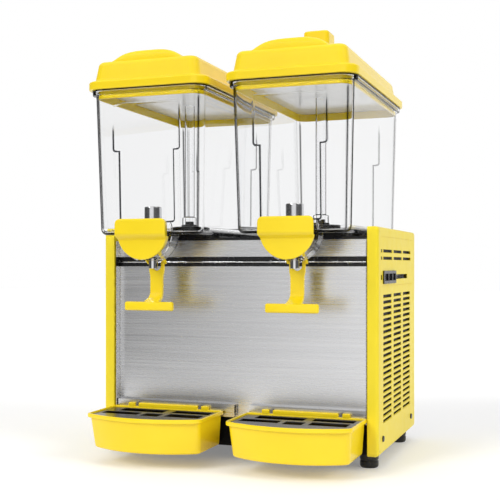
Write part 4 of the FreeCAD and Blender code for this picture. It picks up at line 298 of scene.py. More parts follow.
class Bench:
    """A node tree in the making: short ways to add nodes, to set their constants and to link them."""

    def __init__(self, tree):
        self.nodes = tree.nodes
        self.links = tree.links
        self.place = self.add("TexCoord").outputs["Object"]

    def add(self, kind, links=(), **constants):
        """A new node of a kind, with constants and links given by the names of its inputs."""
        node = self.nodes.new("ShaderNode" + kind)
        self.set(node, links, **constants)
        return node

    def set(self, node, links=(), **constants):
        """Sets constants, with _ for a space in an input's name, and links, pairs of an input and an output."""
        for label, value in constants.items():
            node.inputs[label.replace("_", " ")].default_value = value
        for label, output in links:
            self.links.new(output, node.inputs[label])

    def speckle(self, scale, detail=3.0, stretch=(1.0, 1.0, 1.0)):
        """Noise on the object's own coordinates, stretched along chosen axes."""
        spot = self.add("Mapping", [("Vector", self.place)], Scale=stretch).outputs["Vector"]
        return self.add("TexNoise", [("Vector", spot)], Scale=scale, Detail=detail).outputs["Fac"]

    def ranged(self, value, low, high, start=0.3, end=0.7):
        """The value spread from start..end to low..high."""
        spread = self.add("MapRange", [("Value", value)], From_Min=start, From_Max=end, To_Min=low, To_Max=high)
        return spread.outputs["Result"]

    def arithmetic(self, operation, first, second):
        """One Math node on two values, each an output or a number."""
        node = self.add("Math")
        node.operation = operation
        for socket, value in zip(node.inputs, (first, second)):
            if isinstance(value, (int, float)):
                socket.default_value = value
            else:
                self.links.new(value, socket)
        return node.outputs["Value"]

    def mark(self, label):
        """The value of one of the mesh's own attributes."""
        node = self.add("Attribute")
        node.attribute_name = label
        return node.outputs["Fac"]

    def two_tone(self, value, dark, light, start=0.3, end=0.7):
        """A colour between two tones by a value between start and end."""
        ramp = self.add("ValToRGB", [("Fac", value)])
        for stop, place, tone in zip(ramp.color_ramp.elements, (start, end), (dark, light)):
            stop.position = place
            stop.color = (*tone, 1.0)
        return ramp.outputs["Color"]

    def blend(self, share, first, second):
        """A mix of two shaders by a share, as the output of the tree."""
        mix = self.add("MixShader", [("Fac", share), (1, first), (2, second)])
        self.set(self.nodes["Material Output"], [("Surface", mix.outputs["Shader"])])


def finish(name):
    """A new material, its bench and its shader."""
    material = bpy.data.materials.new(name)
    material.use_nodes = True
    bench = Bench(material.node_tree)
    return material, bench, bench.nodes["Principled BSDF"]


def relief_from(bench, height, strength, distance):
    """A fine surface relief from a height pattern."""
    return bench.add("Bump", [("Height", height)], Strength=strength, Distance=distance).outputs["Normal"]


def plastic(name, dark, light, rough_low, rough_high, grain, strength, specular=0.5, painted_shade=None):
    """Moulded plastic: a slow change of tone, patches of gloss and a fine texture. A dark tone of painted
    shade takes over where the edge attribute is 1."""
    material, bench, shader = finish(name)
    colour = bench.two_tone(bench.speckle(14.0, 2.0), dark, light)
    if painted_shade:
        mix = bench.add("Mix")
        mix.data_type = "RGBA"
        bench.set(mix, [("Factor", bench.mark("edge")), ("A", colour)], B=(*painted_shade, 1.0))
        colour = mix.outputs["Result"]
    gloss = bench.ranged(bench.speckle(60.0), rough_low, rough_high)
    relief = relief_from(bench, bench.speckle(grain, 2.0), strength, 0.0004)
    bench.set(shader, [("Base Color", colour), ("Roughness", gloss), ("Normal", relief)],
              Specular_IOR_Level=specular)
    return material


def metal(name, dark, light, rough_low, rough_high, scale, strength, stretch=(1.0, 1.0, 1.0)):
    """Metal with a grain: noise drawn out along one axis changes its tone, its gloss and its relief."""
    material, bench, shader = finish(name)
    lines = bench.speckle(scale, 4.0, stretch)
    bench.set(shader, [("Base Color", bench.two_tone(lines, dark, light)),
                       ("Roughness", bench.ranged(lines, rough_low, rough_high)),
                       ("Normal", relief_from(bench, lines, strength, 0.0001))], Metallic=1.0)
    return material


def clear(name):
    """Clear moulded plastic, open to lamps: painted dark lines, standing in for refraction and reflection,
    where the edge attribute marks a step and at the rims of what the curl attribute marks as round."""
    material, bench, shader = finish(name)
    # Painted reflection: the base colour goes dark at glancing angles, at marked steps and at marked round rims
    slope = bench.add("LayerWeight", Blend=0.5).outputs["Facing"]
    flat_rim = bench.ranged(slope, 0.0, 0.85, 0.9, 1.0)
    round_rim = bench.ranged(slope, 0.0, 1.0, 0.36, 0.72)
    bent = bench.arithmetic("MULTIPLY", round_rim, bench.mark("curl"))
    dark = bench.arithmetic("MAXIMUM", bench.arithmetic("MAXIMUM", flat_rim, bent), bench.mark("edge"))
    colour = bench.two_tone(dark, (0.985, 0.987, 0.99), (0.003, 0.003, 0.004), 0.0, 0.62)
    haze = bench.ranged(bench.speckle(25.0, 2.0), 0.0, 0.012)
    bench.set(shader, [("Base Color", colour), ("Roughness", haze)], Transmission_Weight=1.0, IOR=1.2)
    open_air = bench.add("BsdfTransparent", Color=(0.95, 0.95, 0.95, 1.0))
    shadow = bench.add("LightPath").outputs["Is Shadow Ray"]
    bench.blend(shadow, shader.outputs["BSDF"], open_air.outputs["BSDF"])
    return material


def grey(level, blue=0.0):
    """A grey whose blue is a little higher, or lower below 0."""
    return (level, level, round(level + blue, 4))


# Painted shade: the near-black tone laid over the inside of the drip trays
TRAY_INSIDE_SHADE = (0.03, 0.022, 0.006)
finishes = {
    "yellow_gloss": plastic("glossy_yellow", (0.92, 0.675, 0.01), (0.96, 0.715, 0.013), 0.17, 0.24, 1500,
                            0.015, painted_shade=TRAY_INSIDE_SHADE),
    "yellow_satin": plastic("satin_yellow", (0.86, 0.68, 0.016), (0.89, 0.71, 0.022), 0.36, 0.46, 2200, 0.06),
    "clear_plastic": clear("clear_tank_plastic"),
    "black_plastic": plastic("moulded_black", grey(0.004, 0.001), grey(0.009, 0.001), 0.18, 0.34, 1200, 0.06,
                             0.35),
    "white_plastic": plastic("white_moulding", grey(0.74, -0.02), grey(0.8, -0.02), 0.3, 0.45, 900, 0.08),
    "grey_liner": plastic("pale_liner", grey(0.86, -0.02), grey(0.91, -0.02), 0.12, 0.22, 700, 0.03),
    "black_rubber": plastic("black_rubber", grey(0.004), grey(0.01), 0.2, 0.4, 1600, 0.1, 0.4),
    "polished_steel": metal("polished_steel", grey(0.6, 0.01), grey(0.7, 0.01), 0.05, 0.1, 40, 0.02),
    "brushed_stainless": metal("brushed_stainless", grey(0.68, 0.01), grey(0.79, 0.01), 0.24, 0.31, 1, 0.03,
                               (3, 520, 520)),
    "black_paint": plastic("black_paint", grey(0.003, 0.001), grey(0.006, 0.001), 0.4, 0.55, 800, 0.1, 0.1),
    "zinc_screws": metal("zinc_plate", grey(0.05, 0.005), grey(0.1, 0.01), 0.25, 0.4, 300, 0.1),
    "plain_aluminium": metal("plain_aluminium", (0.6, 0.61, 0.62), grey(0.72, 0.01), 0.3, 0.48, 1, 0.1,
                             (6, 200, 200)),
    "motor_grey": metal("motor_casing", grey(0.22, 0.01), grey(0.32, 0.01), 0.35, 0.5, 200, 0.12),
    "copper_pipe": metal("copper_pipe", (0.62, 0.27, 0.13), (0.76, 0.38, 0.2), 0.22, 0.42, 90, 0.05),
}
# Painted reflection: a much darker copy of the stainless, for the dark surroundings the grate mirrors
grate_finish = metal("grate_steel_painted_reflection", grey(0.13, 0.01), grey(0.24, 0.01), 0.22, 0.36, 1, 0.08,
                     (5, 900, 900))

for part_row in frame["record"]["subparts"]:
    cad_mesh = frame["nodes"][part_row["node"]].data
    cad_mesh.materials.clear()
    cad_mesh.materials.append(finishes[part_row["material_slot"]])


# Tanks

# The shallow panel in the tank's walls: half widths above and below, the bottom, the shoulders and the top
STEP_BROAD, STEP_NARROW, STEP_DEPTH = 52.5, 43, 1.5
STEP_HEIGHTS = (TANK_BOTTOM + 18, SEAM - 89, SEAM - 83, SEAM - 20)


def tank_sizes(z, wall=0):
    """Levels of the tapering tank wall at the heights z. Each size is a straight line in z."""
    t = (z - TANK_BOTTOM) / (SEAM - TANK_BOTTOM)
    return np.stack([z, 81.5 + 5.5 * t - wall, 156 + 6 * t - wall, 17 + 3 * t - wall, 2 - 2 * t], -1)


def step_field(x, z):
    """How far a point of the front or back wall is inside the shallow panel, 0 to 1: a smooth step of the
    distance to two joined round-cornered rectangles."""
    def distance(half, z0, z1, radius=4):
        """The distance to one rectangle's border, below 0 inside it."""
        qx = np.abs(x) - (half - radius)
        qz = np.abs(z - (z0 + z1) / 2) - ((z1 - z0) / 2 - radius)
        return np.hypot(np.maximum(qx, 0), np.maximum(qz, 0)) + np.minimum(np.maximum(qx, qz), 0) - radius

    broad = distance(STEP_BROAD, STEP_HEIGHTS[1], STEP_HEIGHTS[3])
    narrow = distance(STEP_NARROW, STEP_HEIGHTS[0], STEP_HEIGHTS[2])
    share = np.clip((1.4 - np.minimum(broad, narrow)) / 2.8, 0, 1)
    return share * share * (3 - 2 * share)


def make_tank(side, x):
    """The clear tank: one skin up the outside, over the lip and down the inside, with the shallow panel
    pressed in at the front and back by its depth times the step field. The edge attribute marks the panel's
    border, the foot and a line up each corner, and the curl attribute the round corners: there the clear
    finish paints dark lines in place of refraction and reflection."""
    fine = np.array([-2.2, -1.4, -0.7, 0, 0.7, 1.4, 2.2])
    borders = [s * half + fine for half in (STEP_NARROW, STEP_BROAD) for s in (-1, 1)]
    stops = np.sort(np.concatenate(borders + [np.linspace(-30, 30, 5)]))
    heights = np.concatenate([np.linspace(TANK_BOTTOM + 11, SEAM - 9, 20)] + [z + fine for z in STEP_HEIGHTS])
    heights = np.unique(np.round(heights, 3))
    turns = np.linspace(0, 1, 21)
    bottom = tank_sizes(np.array([TANK_BOTTOM + 9]))[0]
    foot = end_round(TANK_BOTTOM, *bottom[1:], 9, -1, 7)
    lip = tank_sizes(SEAM - np.array([6.8, 6.2, 6, 5.7, 5, 1, 0.3, 0]))
    lip[:, 1:4] += np.array([0, 0.5, 1.5, 4.4, 5, 5, 4.7, 4])[:, None]
    down = tank_sizes(np.concatenate([[SEAM, SEAM - 0.5], heights[::-1]]), TANK_WALL)
    down[0, 1:4] += 0.5
    inner = tank_sizes(np.array([TANK_FLOOR + 6]), TANK_WALL)[0]
    inner_foot = end_round(TANK_FLOOR, *inner[1:], 6, -1, 6)[::-1]
    levels = np.concatenate([foot, tank_sizes(heights), lip, down, inner_foot])
    rings = rounded_rings(0, levels, stops, turns)
    depth = step_field(rings[..., 0], rings[..., 2])
    in_front = rings[..., 1] < 0
    rings[..., 1] -= np.sign(rings[..., 1]) * STEP_DEPTH * depth
    outside = (np.arange(len(levels)) < len(foot) + len(heights))[:, None]
    # Painted dark lines: the panel's border fading towards the top and weaker at the back, the foot and the
    # corners' crest
    fade = np.clip((SEAM - 24.0 - 26.0 * (rings[..., 0] < 0) - rings[..., 2]) / 14, 0, 1)
    edge = np.clip(11 * depth * (1 - depth), 0, 1) * outside * fade * np.where(in_front, 1, 0.7)
    sole = np.exp(-((rings[..., 2] - TANK_BOTTOM - 2.2) / 1.3) ** 2) * outside
    edge = np.maximum(edge, 0.9 * sole)
    flat = np.zeros(len(stops))
    hump = np.sin(np.pi * np.clip(turns * 1.1 - 0.05, 0, 1)) ** 0.5
    crest = np.exp(-((turns - 0.5) / 0.055) ** 2)
    bend, ridge = (np.concatenate([corner, flat, corner, corner, flat, corner]) for corner in (hump, crest))
    curl = bend[None, :] * np.where(outside, 1, 0.9)
    below_lip = np.clip((SEAM - 8.0 - rings[..., 2]) / 4, 0, 1)
    edge = np.maximum(edge, 0.8 * ridge[None, :] * outside * below_lip)
    rings[..., 0] += x
    marks = np.stack([edge, curl], -1).reshape(-1, 2)
    make_piece(side, "clear_tank", [skin(rings, extra=marks)], "tank", "clear_plastic", "tank", sharp=50)


def make_pump(side, x):
    """The black pump housing with a stepped top, and the tall clear tube that stands on it."""
    foot = (x, 0, TANK_FLOOR)
    housing = softened([(30, 0), (30, 9.5), (27, 12), (18, 13), (13.5, 13), (13, 16),
                        (6.4, 16), (6.4, 21)], [0, 1.5, 1.5, 1.5, 0.8, 0.8, 0.8, 0], 3, closed=False)
    inside = np.array([(4.5, 21), (4.5, 10), (28, 10), (28, 0)])
    cover = turned(np.concatenate([housing, inside]), foot, loop=True)
    make_piece(side, "pump_cover", [cover], "tank", "black_plastic", "pump_housing")
    top = SEAM - 1.0 - TANK_FLOOR
    tube = softened([(6.5, 13), (12, 13), (12, 27), (8, 28.5), (8, top), (6.5, top)],
                    [0.3, 0.8, 1.2, 1, 0.7, 0.5], 3)
    points, quads, caps, _ = turned(tube, foot, steps=48, loop=True)
    # The curl mark on the tube's outside gives painted dark rims in place of refraction
    outer = np.hypot(points[:, 0] - x, points[:, 1]) > 7.5
    marks = np.stack([0.0 * outer, np.where(outer, 1, 0)], -1)
    make_piece(side, "clear_tube", [(points, quads, caps, marks)], "tank", "clear_plastic", "spray_tube")


# Lids

def make_lid(side, x):
    """The lid: one skin from the ceiling down the skirt, round the broad rim and up the raised box, with a
    crown z = height (1 - |t|^3.5) across it, t from -1 to 1. The right one has a knob."""
    shift = -2.0
    inner = raised([
        (40, 77, 158, 11), (39, 78, 159, 11.5), (13, 80.5, 161, 11.5), (11.5, 81, 157.5, 13),
        (10, 81, 156, 14.5), (-10.4, 81, 156, 14.5), (-11, 81.6, 156.6, 15), (-11, 82.9, 157.9, 16.5),
        (-10.4, 83.5, 158.5, 17), (0.7, 83.5, 158.5, 17), (1.5, 84.3, 159.3, 17.5), (1.5, 94.2, 169.2, 21.2),
        (2.3, 95, 170, 22)], SEAM, [shift] * 3 + [-0.6] + [0] * 9)
    rim_top = end_round(RIM_TOP, 95, 170, 22, 0, 3, 1)
    root = raised([(0, 85.2, 165.6, 15.2), (0.3, 84, 164.8, 14.6), (1.2, 83.2, 164.1, 14.2),
                   (2.6, 82.9, 163.9, 14)], RIM_TOP, shift)
    box_top = end_round(BOX_TOP, 80, 161, 14, shift, 8, 1, 7)
    turns = np.linspace(0, 1, 13)
    shells = [skin(rounded_rings(x, np.concatenate([inner, rim_top, root, box_top]), turns=turns))]

    s = np.linspace(-1, 1, 49)
    front, back, half, height, end = -158, 154, 55, 13.4, 5.0
    curve = end * (1 - np.cos(np.linspace(0, QUARTER, 7)))
    y = np.concatenate([front + curve, np.linspace(front + 12, back - 12, 9), back - curve[::-1]])
    near_end = np.clip(np.minimum(y - front, back - y) / end, 0, 1)
    lift = np.sqrt(1 - (1 - near_end) ** 2)
    hump = height * (1 - np.abs(s) ** 3.5)
    across = x + half * s[None, :] + 0 * y[:, None]
    along = y[:, None] + 0 * across
    top = np.stack([across, along, BOX_TOP - 0.6 + (hump[None, :] + 0.6) * lift[:, None]], -1)
    under = np.stack([across, along, 0 * across + BOX_TOP - 1.5], -1)
    shells.append(windowed(top, under, np.ones((len(y) - 1, len(s) - 1), bool)))

    if side == "right":
        _, knob_top = heights_of("right_lid")
        knob = raised([(3, 22.5, 23.5, 9.5), (15, 21, 22, 8.5), (18, 20.3, 21.3, 8.2),
                       (23, 20, 21, 8)], BOX_TOP, KNOB_Y)
        knob = np.concatenate([knob, end_round(knob_top, 19.6, 20.6, 7.6, KNOB_Y, 3.5, 1)])
        shells.append(skin(rounded_rings(x, knob, turns=turns)))
    make_piece(side, "lid_shell", shells, "lid", "yellow_gloss", "lid", sharp=40)

    ceiling = raised([(0.6, 79.4, 154.4, 13), (0.8, 80.2, 155.2, 13.8), (1.8, 80.7, 155.7, 14.2),
                      (2.6, 80.5, 155.5, 14)], SEAM)
    ceiling = skin(rounded_rings(x, ceiling, turns=turns))
    make_piece(side, "lid_ceiling", [ceiling], "lid", "grey_liner", "lid_liner")

    seal = raised([(0, 92, 167, 25), (0.3, 92.5, 167.5, 25.5), (1.2, 92.5, 167.5, 25.5),
                   (1.5, 92, 167, 25), (1.5, 87.5, 162.5, 20.5), (0, 87.5, 162.5, 20.5)], SEAM)
    seal = skin(rounded_rings(x, seal, turns=turns), loop=True)
    make_piece(side, "seal_ring", [seal], "lid", "black_rubber", "lid_gasket")


# Taps

def make_valve(side, x):
    """The polished valve cylinder in the tank and the nozzle under the tap, both turned from a profile."""
    outer = softened([(12.7, 0), (12.7, 37), (2, 37)], [0, 1.6, 0], 5, closed=False)
    inner = np.array([(2, 35), (10.2, 35), (10.2, 0)])
    cylinder = turned(np.concatenate([outer, inner]), (x, TAP_Y, TANK_FLOOR), loop=True)
    make_piece(side, "valve_cylinder", [cylinder], "tank", "polished_steel", "valve_sleeve")
    low, _ = heights_of(side + "_nozzle")
    spout = softened([(4.5, 15), (6, 15), (6, 12.2), (6.5, 12), (6.5, 2), (6.5, 0), (4.9, 0),
                      (4.5, 3)], [0.2, 0.2, 0.1, 0.3, 1, 0.5, 0.5, 0.8], 3)
    spout = turned(spout, (x, TAP_Y, low), steps=48, loop=True)
    make_piece(side, "spout", [spout], "tank", "polished_steel", "nozzle")


def cover_rings(outline, y):
    """Rings in XZ at the places y: an outline of (levels, points, 2) with a y for each level."""
    y = np.asarray(y, float)[:, None] + 0 * outline[..., 0]
    return np.stack([outline[..., 0], y, outline[..., 1]], -1)


def edge_back(front, edge, steps=5):
    """Insets, edge (1 - sin a), and places, front + edge (1 - cos a), that round off a front face."""
    a = np.linspace(QUARTER, 0, steps + 1)
    return edge * (1 - np.sin(a)), front + edge * (1 - np.cos(a))


def make_cover(side, x):
    """The yellow cover: a round-cornered block whose underside slopes back to a half disc below it, both a
    little narrower at the back and hollow from behind."""
    front, disc_front, back = -180.5, -173, -158.0
    low, middle, high = TANK_BOTTOM - 7.7, TANK_BOTTOM + 2.4, TANK_BOTTOM + 22.0
    inset, place = edge_back(front, 3)
    y = np.concatenate([[back, -164, -170, disc_front, -175.5], place])
    shrink = np.concatenate([np.zeros(5), inset])
    half = 40.5 - 7.5 * (y - front) / (back - front) - shrink
    under = low + 6.0 * np.clip((disc_front - y) / (disc_front - front), 0, 1) + shrink
    blocks = np.stack([softened([(x - h, b), (x + h, b), (x + h, high - i), (x - h, high - i)],
                                [2.2 - i * 0.4, 2.2 - i * 0.4, 8.5 - i, 8.5 - i], 6)
                       for h, b, i in zip(half, under, shrink)])
    hollow = np.stack([softened([(x - h, low + b), (x + h, low + b), (x + h, high - 2.5), (x - h, high - 2.5)],
                                [1, 1, 6, 6], 6) for h, b in ((37, 8.7), (35.8, 5.5), (30.5, 2.5))])
    block = skin(np.concatenate([cover_rings(hollow, [-178, -174, back]), cover_rings(blocks, y)]))

    inset, place = edge_back(disc_front, 2.2)
    y = np.concatenate([[back, -166], place])
    radii = 39.4 - 3.4 * (y - disc_front) / (back - disc_front) - np.concatenate([np.zeros(2), inset])

    def half_disc(radius, top):
        """The arc of the radius about the middle below the height top."""
        start = math.asin((top - middle) / radius)
        turn = np.linspace(start, -math.pi - start, 61)
        return np.stack([x + radius * np.cos(turn), middle + radius * np.sin(turn)], -1)

    discs = np.stack([half_disc(radius, low + 4.7) for radius in radii])
    cavity = np.stack([half_disc(36.4, low + 3.7), half_disc(33.5, low + 3.7)])
    disc = skin(np.concatenate([cover_rings(cavity, [-170.5, back]), cover_rings(discs, y)]))
    make_piece(side, "tap_hood", [block, disc], "tank", "yellow_gloss", "tap_cover", sharp=38)


def normals_of(path):
    """The unit normals of a path in YZ, its directions turned by a quarter: (-dz, dy)."""
    tangent = np.gradient(path, axis=0)
    tangent /= np.linalg.norm(tangent, axis=1, keepdims=True)
    return np.stack([-tangent[:, 1], tangent[:, 0]], -1)


def strap(x, half, path, thickness, edge):
    """A flat strap: a round-cornered section carried along a path in YZ, as path + outwards * its normal."""
    b = thickness / 2
    section = softened([(-half, -b), (half, -b), (half, b), (-half, b)], edge, 3)
    spots = path[:, None] + section[None, :, 1:] * normals_of(path)[:, None]
    return skin(np.concatenate([x + section[None, :, :1] + 0 * spots[..., :1], spots], -1))


def lever_plate(x, path, half, slot, thickness):
    """The lever's arm: a plate along a path in YZ, half wide at each point and open between -slot and slot
    where slot is above 0. Points are path +- thickness / 2 along its normal."""
    inner = np.maximum(slot, 1.5)
    columns = np.stack([-half, -half * 0.5 - inner * 0.5, -inner, inner, half * 0.5 + inner * 0.5, half], -1)
    faces = []
    for sign in (-1, 1):
        line = path + sign * thickness / 2 * normals_of(path)
        faces.append(np.stack([x + columns, line[:, :1] + 0 * columns, line[:, 1:] + 0 * columns], -1))
    keep = np.ones((len(path) - 1, 5), bool)
    keep[:, 2] = (slot[:-1] <= 0) | (slot[1:] <= 0)
    return windowed(faces[0], faces[1], keep)


def make_lever(side, x):
    """The tap lever: a hub on two pins, a yoke past the neck, two fingers under the piston, a flat arm with a
    slot behind the nozzle, a flared foot and the push bar."""
    arm_y, shoulder = PIVOT_Y + 30.5, PIVOT_Z - 20.0
    knee, bar_y, bar_z = PIVOT_Z - 71, PIVOT_Y + 4, PIVOT_Z - 83.5
    slot_end = PIVOT_Z - 32.0
    corner = softened([(arm_y, slot_end - 14), (arm_y, knee), (bar_y, bar_z + 1)], [0, 10, 0], 10, False)
    drop = np.array([0, 0.3, 1.2, 2.6, 4.4, 6, 8])
    upright = np.concatenate([np.linspace(shoulder + 2, slot_end + 8.5, 4), slot_end + drop[::-1],
                              slot_end - np.array([2, 8])])
    path = np.concatenate([np.stack([0 * upright + arm_y, upright], -1), corner])
    z = path[:, 1]
    widen = np.clip((z - (slot_end - 10)) / 10, 0, 1)
    flare = np.clip((knee + 6.0 - z) / 16, 0, 1)
    half = 9.75 + 1.75 * widen * widen * (3 - 2 * widen) + 2.2 * flare * flare
    slot_half = 7.5
    into = np.clip((slot_end + slot_half - z) / slot_half, 0, 0.98)
    slot = np.where(z >= slot_end - 0.01, slot_half * np.sqrt(1 - into ** 2), 0)
    pivot = (x, PIVOT_Y, PIVOT_Z)
    pieces = [lever_plate(x, path, half, slot, 5),
              rod(1, 4.6, 15.2, pivot, 32, 0.8, 3), rod(0.5, 2.38, 18.3, pivot),
              soft_box(x - 38.5, x + 38.5, bar_y - 3.5, bar_y + 3.5, bar_z - 6.5, bar_z + 6.5, 2.8, 2.8, 6)]
    yoke = np.linspace((PIVOT_Y, PIVOT_Z), (arm_y, shoulder), 5)
    finger = np.linspace((PIVOT_Y, PIVOT_Z), (TAP_Y, PIVOT_Z), 3)
    for sign in (-1, 1):
        pieces.append(strap(x + sign * 13.7, 1.5, yoke, 5, 0.8))
        pieces.append(strap(x + sign * 6.6, 1.4, finger, 4.6, 0.8))
        pieces.append(rod(0.5, 2.5, 3.8, (x + sign * 11.4, arm_y, shoulder), 20))
    make_piece(side, "push_lever", pieces, "lever", "yellow_gloss", "tap_lever", bevel=0.7)


# Cabinet

def window_mask(u, v, windows):
    """Which cells between the stops are solid, as those whose middle lies in no window (u0, u1, v0, v1)."""
    um, vm = (u[:-1] + u[1:]) / 2, (v[:-1] + v[1:]) / 2
    keep = np.ones((len(v) - 1, len(u) - 1), bool)
    for u0, u1, v0, v1 in windows:
        keep &= ~(((um > u0) & (um < u1))[None, :] & ((vm > v0) & (vm < v1))[:, None])
    return keep


def side_windows(right):
    """The air slots of a side panel, each as y0, y1, z0, z1, and its two grooves."""
    columns = [-53.0 + 74.0 * k for k in range(3)]
    notch = (-68.5, -59.5)
    windows = [(y, y + 59, top - 5.2, top) for top in SIDE_TOP - 97.0 - 8.5 * np.arange(22) for y in columns]
    for top in (SIDE_TOP - 32, SIDE_TOP - 42.4):
        windows += [(y, y + 64, top - 4.8, top) for y in columns] + [(*notch, top - 4.8, top)]
    grooves = [(notch[0], 167, z, z + 1) for z in (SIDE_TOP - 14.5, SIDE_TOP - 85)]
    grooves.append((-74.5, -73.7, BASE + 14, SIDE_TOP - 14.5))
    if right:
        plate = SIDE_TOP - 72.0
        windows += [(y0, y1, plate - half, plate + half)
                    for y0, y1, half in ((-52.5, 29.5, 6.75), (34.5, 130, 3.5), (*notch, 3.5))]
    return windows, grooves


def make_side(side):
    """A side panel: a skin with air slots and louvre blades, a front post of one rounded section, rails with
    round shoulders along the top and the bottom, and dark sheets of painted shade behind the slots. All is
    made on the right and mirrored for the left."""
    right = side == "right"
    windows, grooves = side_windows(right)
    cuts = windows + grooves
    y = np.unique(np.concatenate([[-76, 195]] + [c[:2] for c in cuts]))
    z = np.unique(np.concatenate([[BASE + 8.5, SIDE_TOP - 8.5]] + [c[2:] for c in cuts]))
    yy, zz = np.meshgrid(y, z)
    outer, inner = (np.stack([0 * yy + wall_x, yy, zz], -1) for wall_x in (SIDE_OUT, SIDE_OUT - 0.9))
    shells = [windowed(outer, inner, window_mask(y, z, cuts))]
    for y0, y1, z0, z1 in grooves:
        shells.append(soft_box(212.4, 214.3, y0 - 2, y1 + 2, z0 - 1.5, z1 + 1.5, 0.3))
    for y0, y1, z0, z1 in windows:
        if z1 - z0 < 6:
            blade = softened([(214.2, z0 - 0.3), (214.2, z0 + 0.2), (213.2, z0 + 0.7), (213, z0 + 0.3)], 0.1, 2)
            shells.append(swept(blade, (y0 - 1, y1 + 1), "y"))
    post = softened([(SIDE_OUT, -76), (SIDE_OUT, POST_FRONT), (POST_IN, POST_FRONT), (POST_IN, -64),
                     (201, -64), (201, -82.5), (212.5, -82.5), (212.5, -76)],
                    [0.01, 5.5, 1.2, 0.4, 0.4, 0.4, 2.5, 0.01], 7)
    shells.append(swept(post, (BASE + 7.5, 120, 230, SIDE_TOP - 7.5)))
    rail = softened([(POST_IN, 0), (SIDE_OUT, 0), (SIDE_OUT, -8.5), (212.5, -8.5), (212.5, -2.5), (POST_IN, -2.5)],
                    [0.5, 6, 0.01, 0.01, 2, 0.5], 7) + np.array([0, SIDE_TOP])
    a = np.linspace(0, QUARTER, 8)
    rear = -79.5
    cap = [softened([(POST_IN, rear), (SIDE_OUT - i, rear), (SIDE_OUT - i, POST_FRONT + 0.7 * i),
                     (POST_IN, POST_FRONT + 0.7 * i)], [0.01, 0.01, 5.5 - i * 0.9, 0.8], 7)
           for i in 5.5 * (1 - np.cos(a))]
    cap = np.stack(cap[:1] + cap)
    cap_z = SIDE_TOP - 6.0 + np.concatenate([[-1.5], 6.0 * np.sin(a)])
    for turned_over in (False, True):
        if turned_over:
            rail[:, 1] = BASE + SIDE_TOP - rail[:, 1]
            cap_z = BASE + SIDE_TOP - cap_z
        shells.append(swept(rail, (rear, 40, 194.4, 195), "y"))
        shells.append(skin(np.concatenate([cap, cap_z[:, None, None] + 0 * cap[..., :1]], -1)))
    shells.append(soft_box(POST_IN, 212.6, 189.1, 191.6, BASE, SIDE_TOP - 1.5, 0.4))
    # Painted shade: black sheets behind the slots stand in for the darkness inside the cabinet
    shade_sheets = [soft_box(210.2, 210.9, -58, 166, SIDE_TOP - low, SIDE_TOP - high, 0.3)
               for low, high in ((286, 93), (50, 29))]
    if not right:
        shells, shade_sheets = ([flipped_x(shell) for shell in group] for group in (shells, shade_sheets))
    make_piece(side, "side_shell", shells, "cabinet", "yellow_satin", "side_panel", sharp=34)
    make_piece(side, "painted_shade_sheets", shade_sheets, "cabinet", "black_paint", "side_panel")


def make_front():
    """The stainless lower panel and band: plates folded forward beside the posts, carried up from one
    section, and the trim strip with its bright bead."""
    low, top = heights_of("front_panels")
    trim_low, trim_top = heights_of("front_trim")
    half, fold, fold_y = 197, 195.8, -81.5
    section = softened([(-half, fold_y), (-fold, fold_y), (-fold, PANEL_Y), (fold, PANEL_Y), (fold, fold_y),
                        (half, fold_y), (half, PANEL_Y + 1.2), (-half, PANEL_Y + 1.2)],
                       [0.4, 0.4, 1.2, 1.2, 0.4, 0.4, 1.8, 1.8], 5)
    plates = [swept(section, (z0, z0 + 0.3, z1 - 0.3, z1)) for z0, z1 in ((low, trim_low), (trim_top, top))]
    make_piece("", "stainless_front", plates, "cabinet", "brushed_stainless", "front_panels")
    strip = softened([(-64, 0.05), (PANEL_Y, 0.05), (PANEL_Y, 4.4), (-68.2, 5.2), (-68.2, 7.8), (PANEL_Y, 8.6),
                      (PANEL_Y, 14.45), (-64, 14.45)], [0.4, 1.2, 0.6, 0.3, 0.3, 0.6, 1.2, 0.4], 4)
    shells = [swept(strip + np.array([0, trim_low]), (-half, -196.4, 196.4, half), "x")]
    for ends in (-half, -fold), (fold, half):
        shells.append(soft_box(*ends, fold_y, PANEL_Y + 0.5, trim_low + 0.05, trim_top - 0.05, 0.3))
    make_piece("", "trim_strip", shells, "cabinet", "black_plastic", "front_trim")
    bead = rod(0.4, 1.2, 196.8, (0, PANEL_Y, trim_low + 6.5), edge_steps=3)
    make_piece("", "trim_bead", [bead], "cabinet", "polished_steel", "front_trim")


def make_feet():
    """Four rubber feet turned from one profile, with a shallow groove round the middle."""
    near, far = (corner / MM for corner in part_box("rubber_feet"))
    radius = 13.5
    profile = softened([(2.6, 0), (radius - 1.5, 0), (radius, 3), (radius, 9), (radius - 0.7, 10),
                        (radius - 0.7, 11.2), (radius, 12.2), (radius, BASE), (2.6, BASE)],
                       [0, 1, 1, 0.5, 0.4, 0.4, 0.5, 0.8, 0], 3, closed=False)
    shells = [turned(profile, (s * (far[0] - radius), y, 0), steps=48) for s in (-1, 1)
              for y in (near[1] + radius, far[1] - radius)]
    make_piece("", "foot_rubbers", shells, "cabinet", "black_rubber", "rubber_feet")


# Drip trays

def bow(x_share, half, corner, apex):
    """The tray's bowed front: the circle through (half, corner) and (0, apex), as y at x = x_share * half."""
    rise = corner - apex
    radius = (half ** 2 + rise ** 2) / (2 * rise)
    return apex + radius - np.sqrt(radius ** 2 - (x_share * half) ** 2)


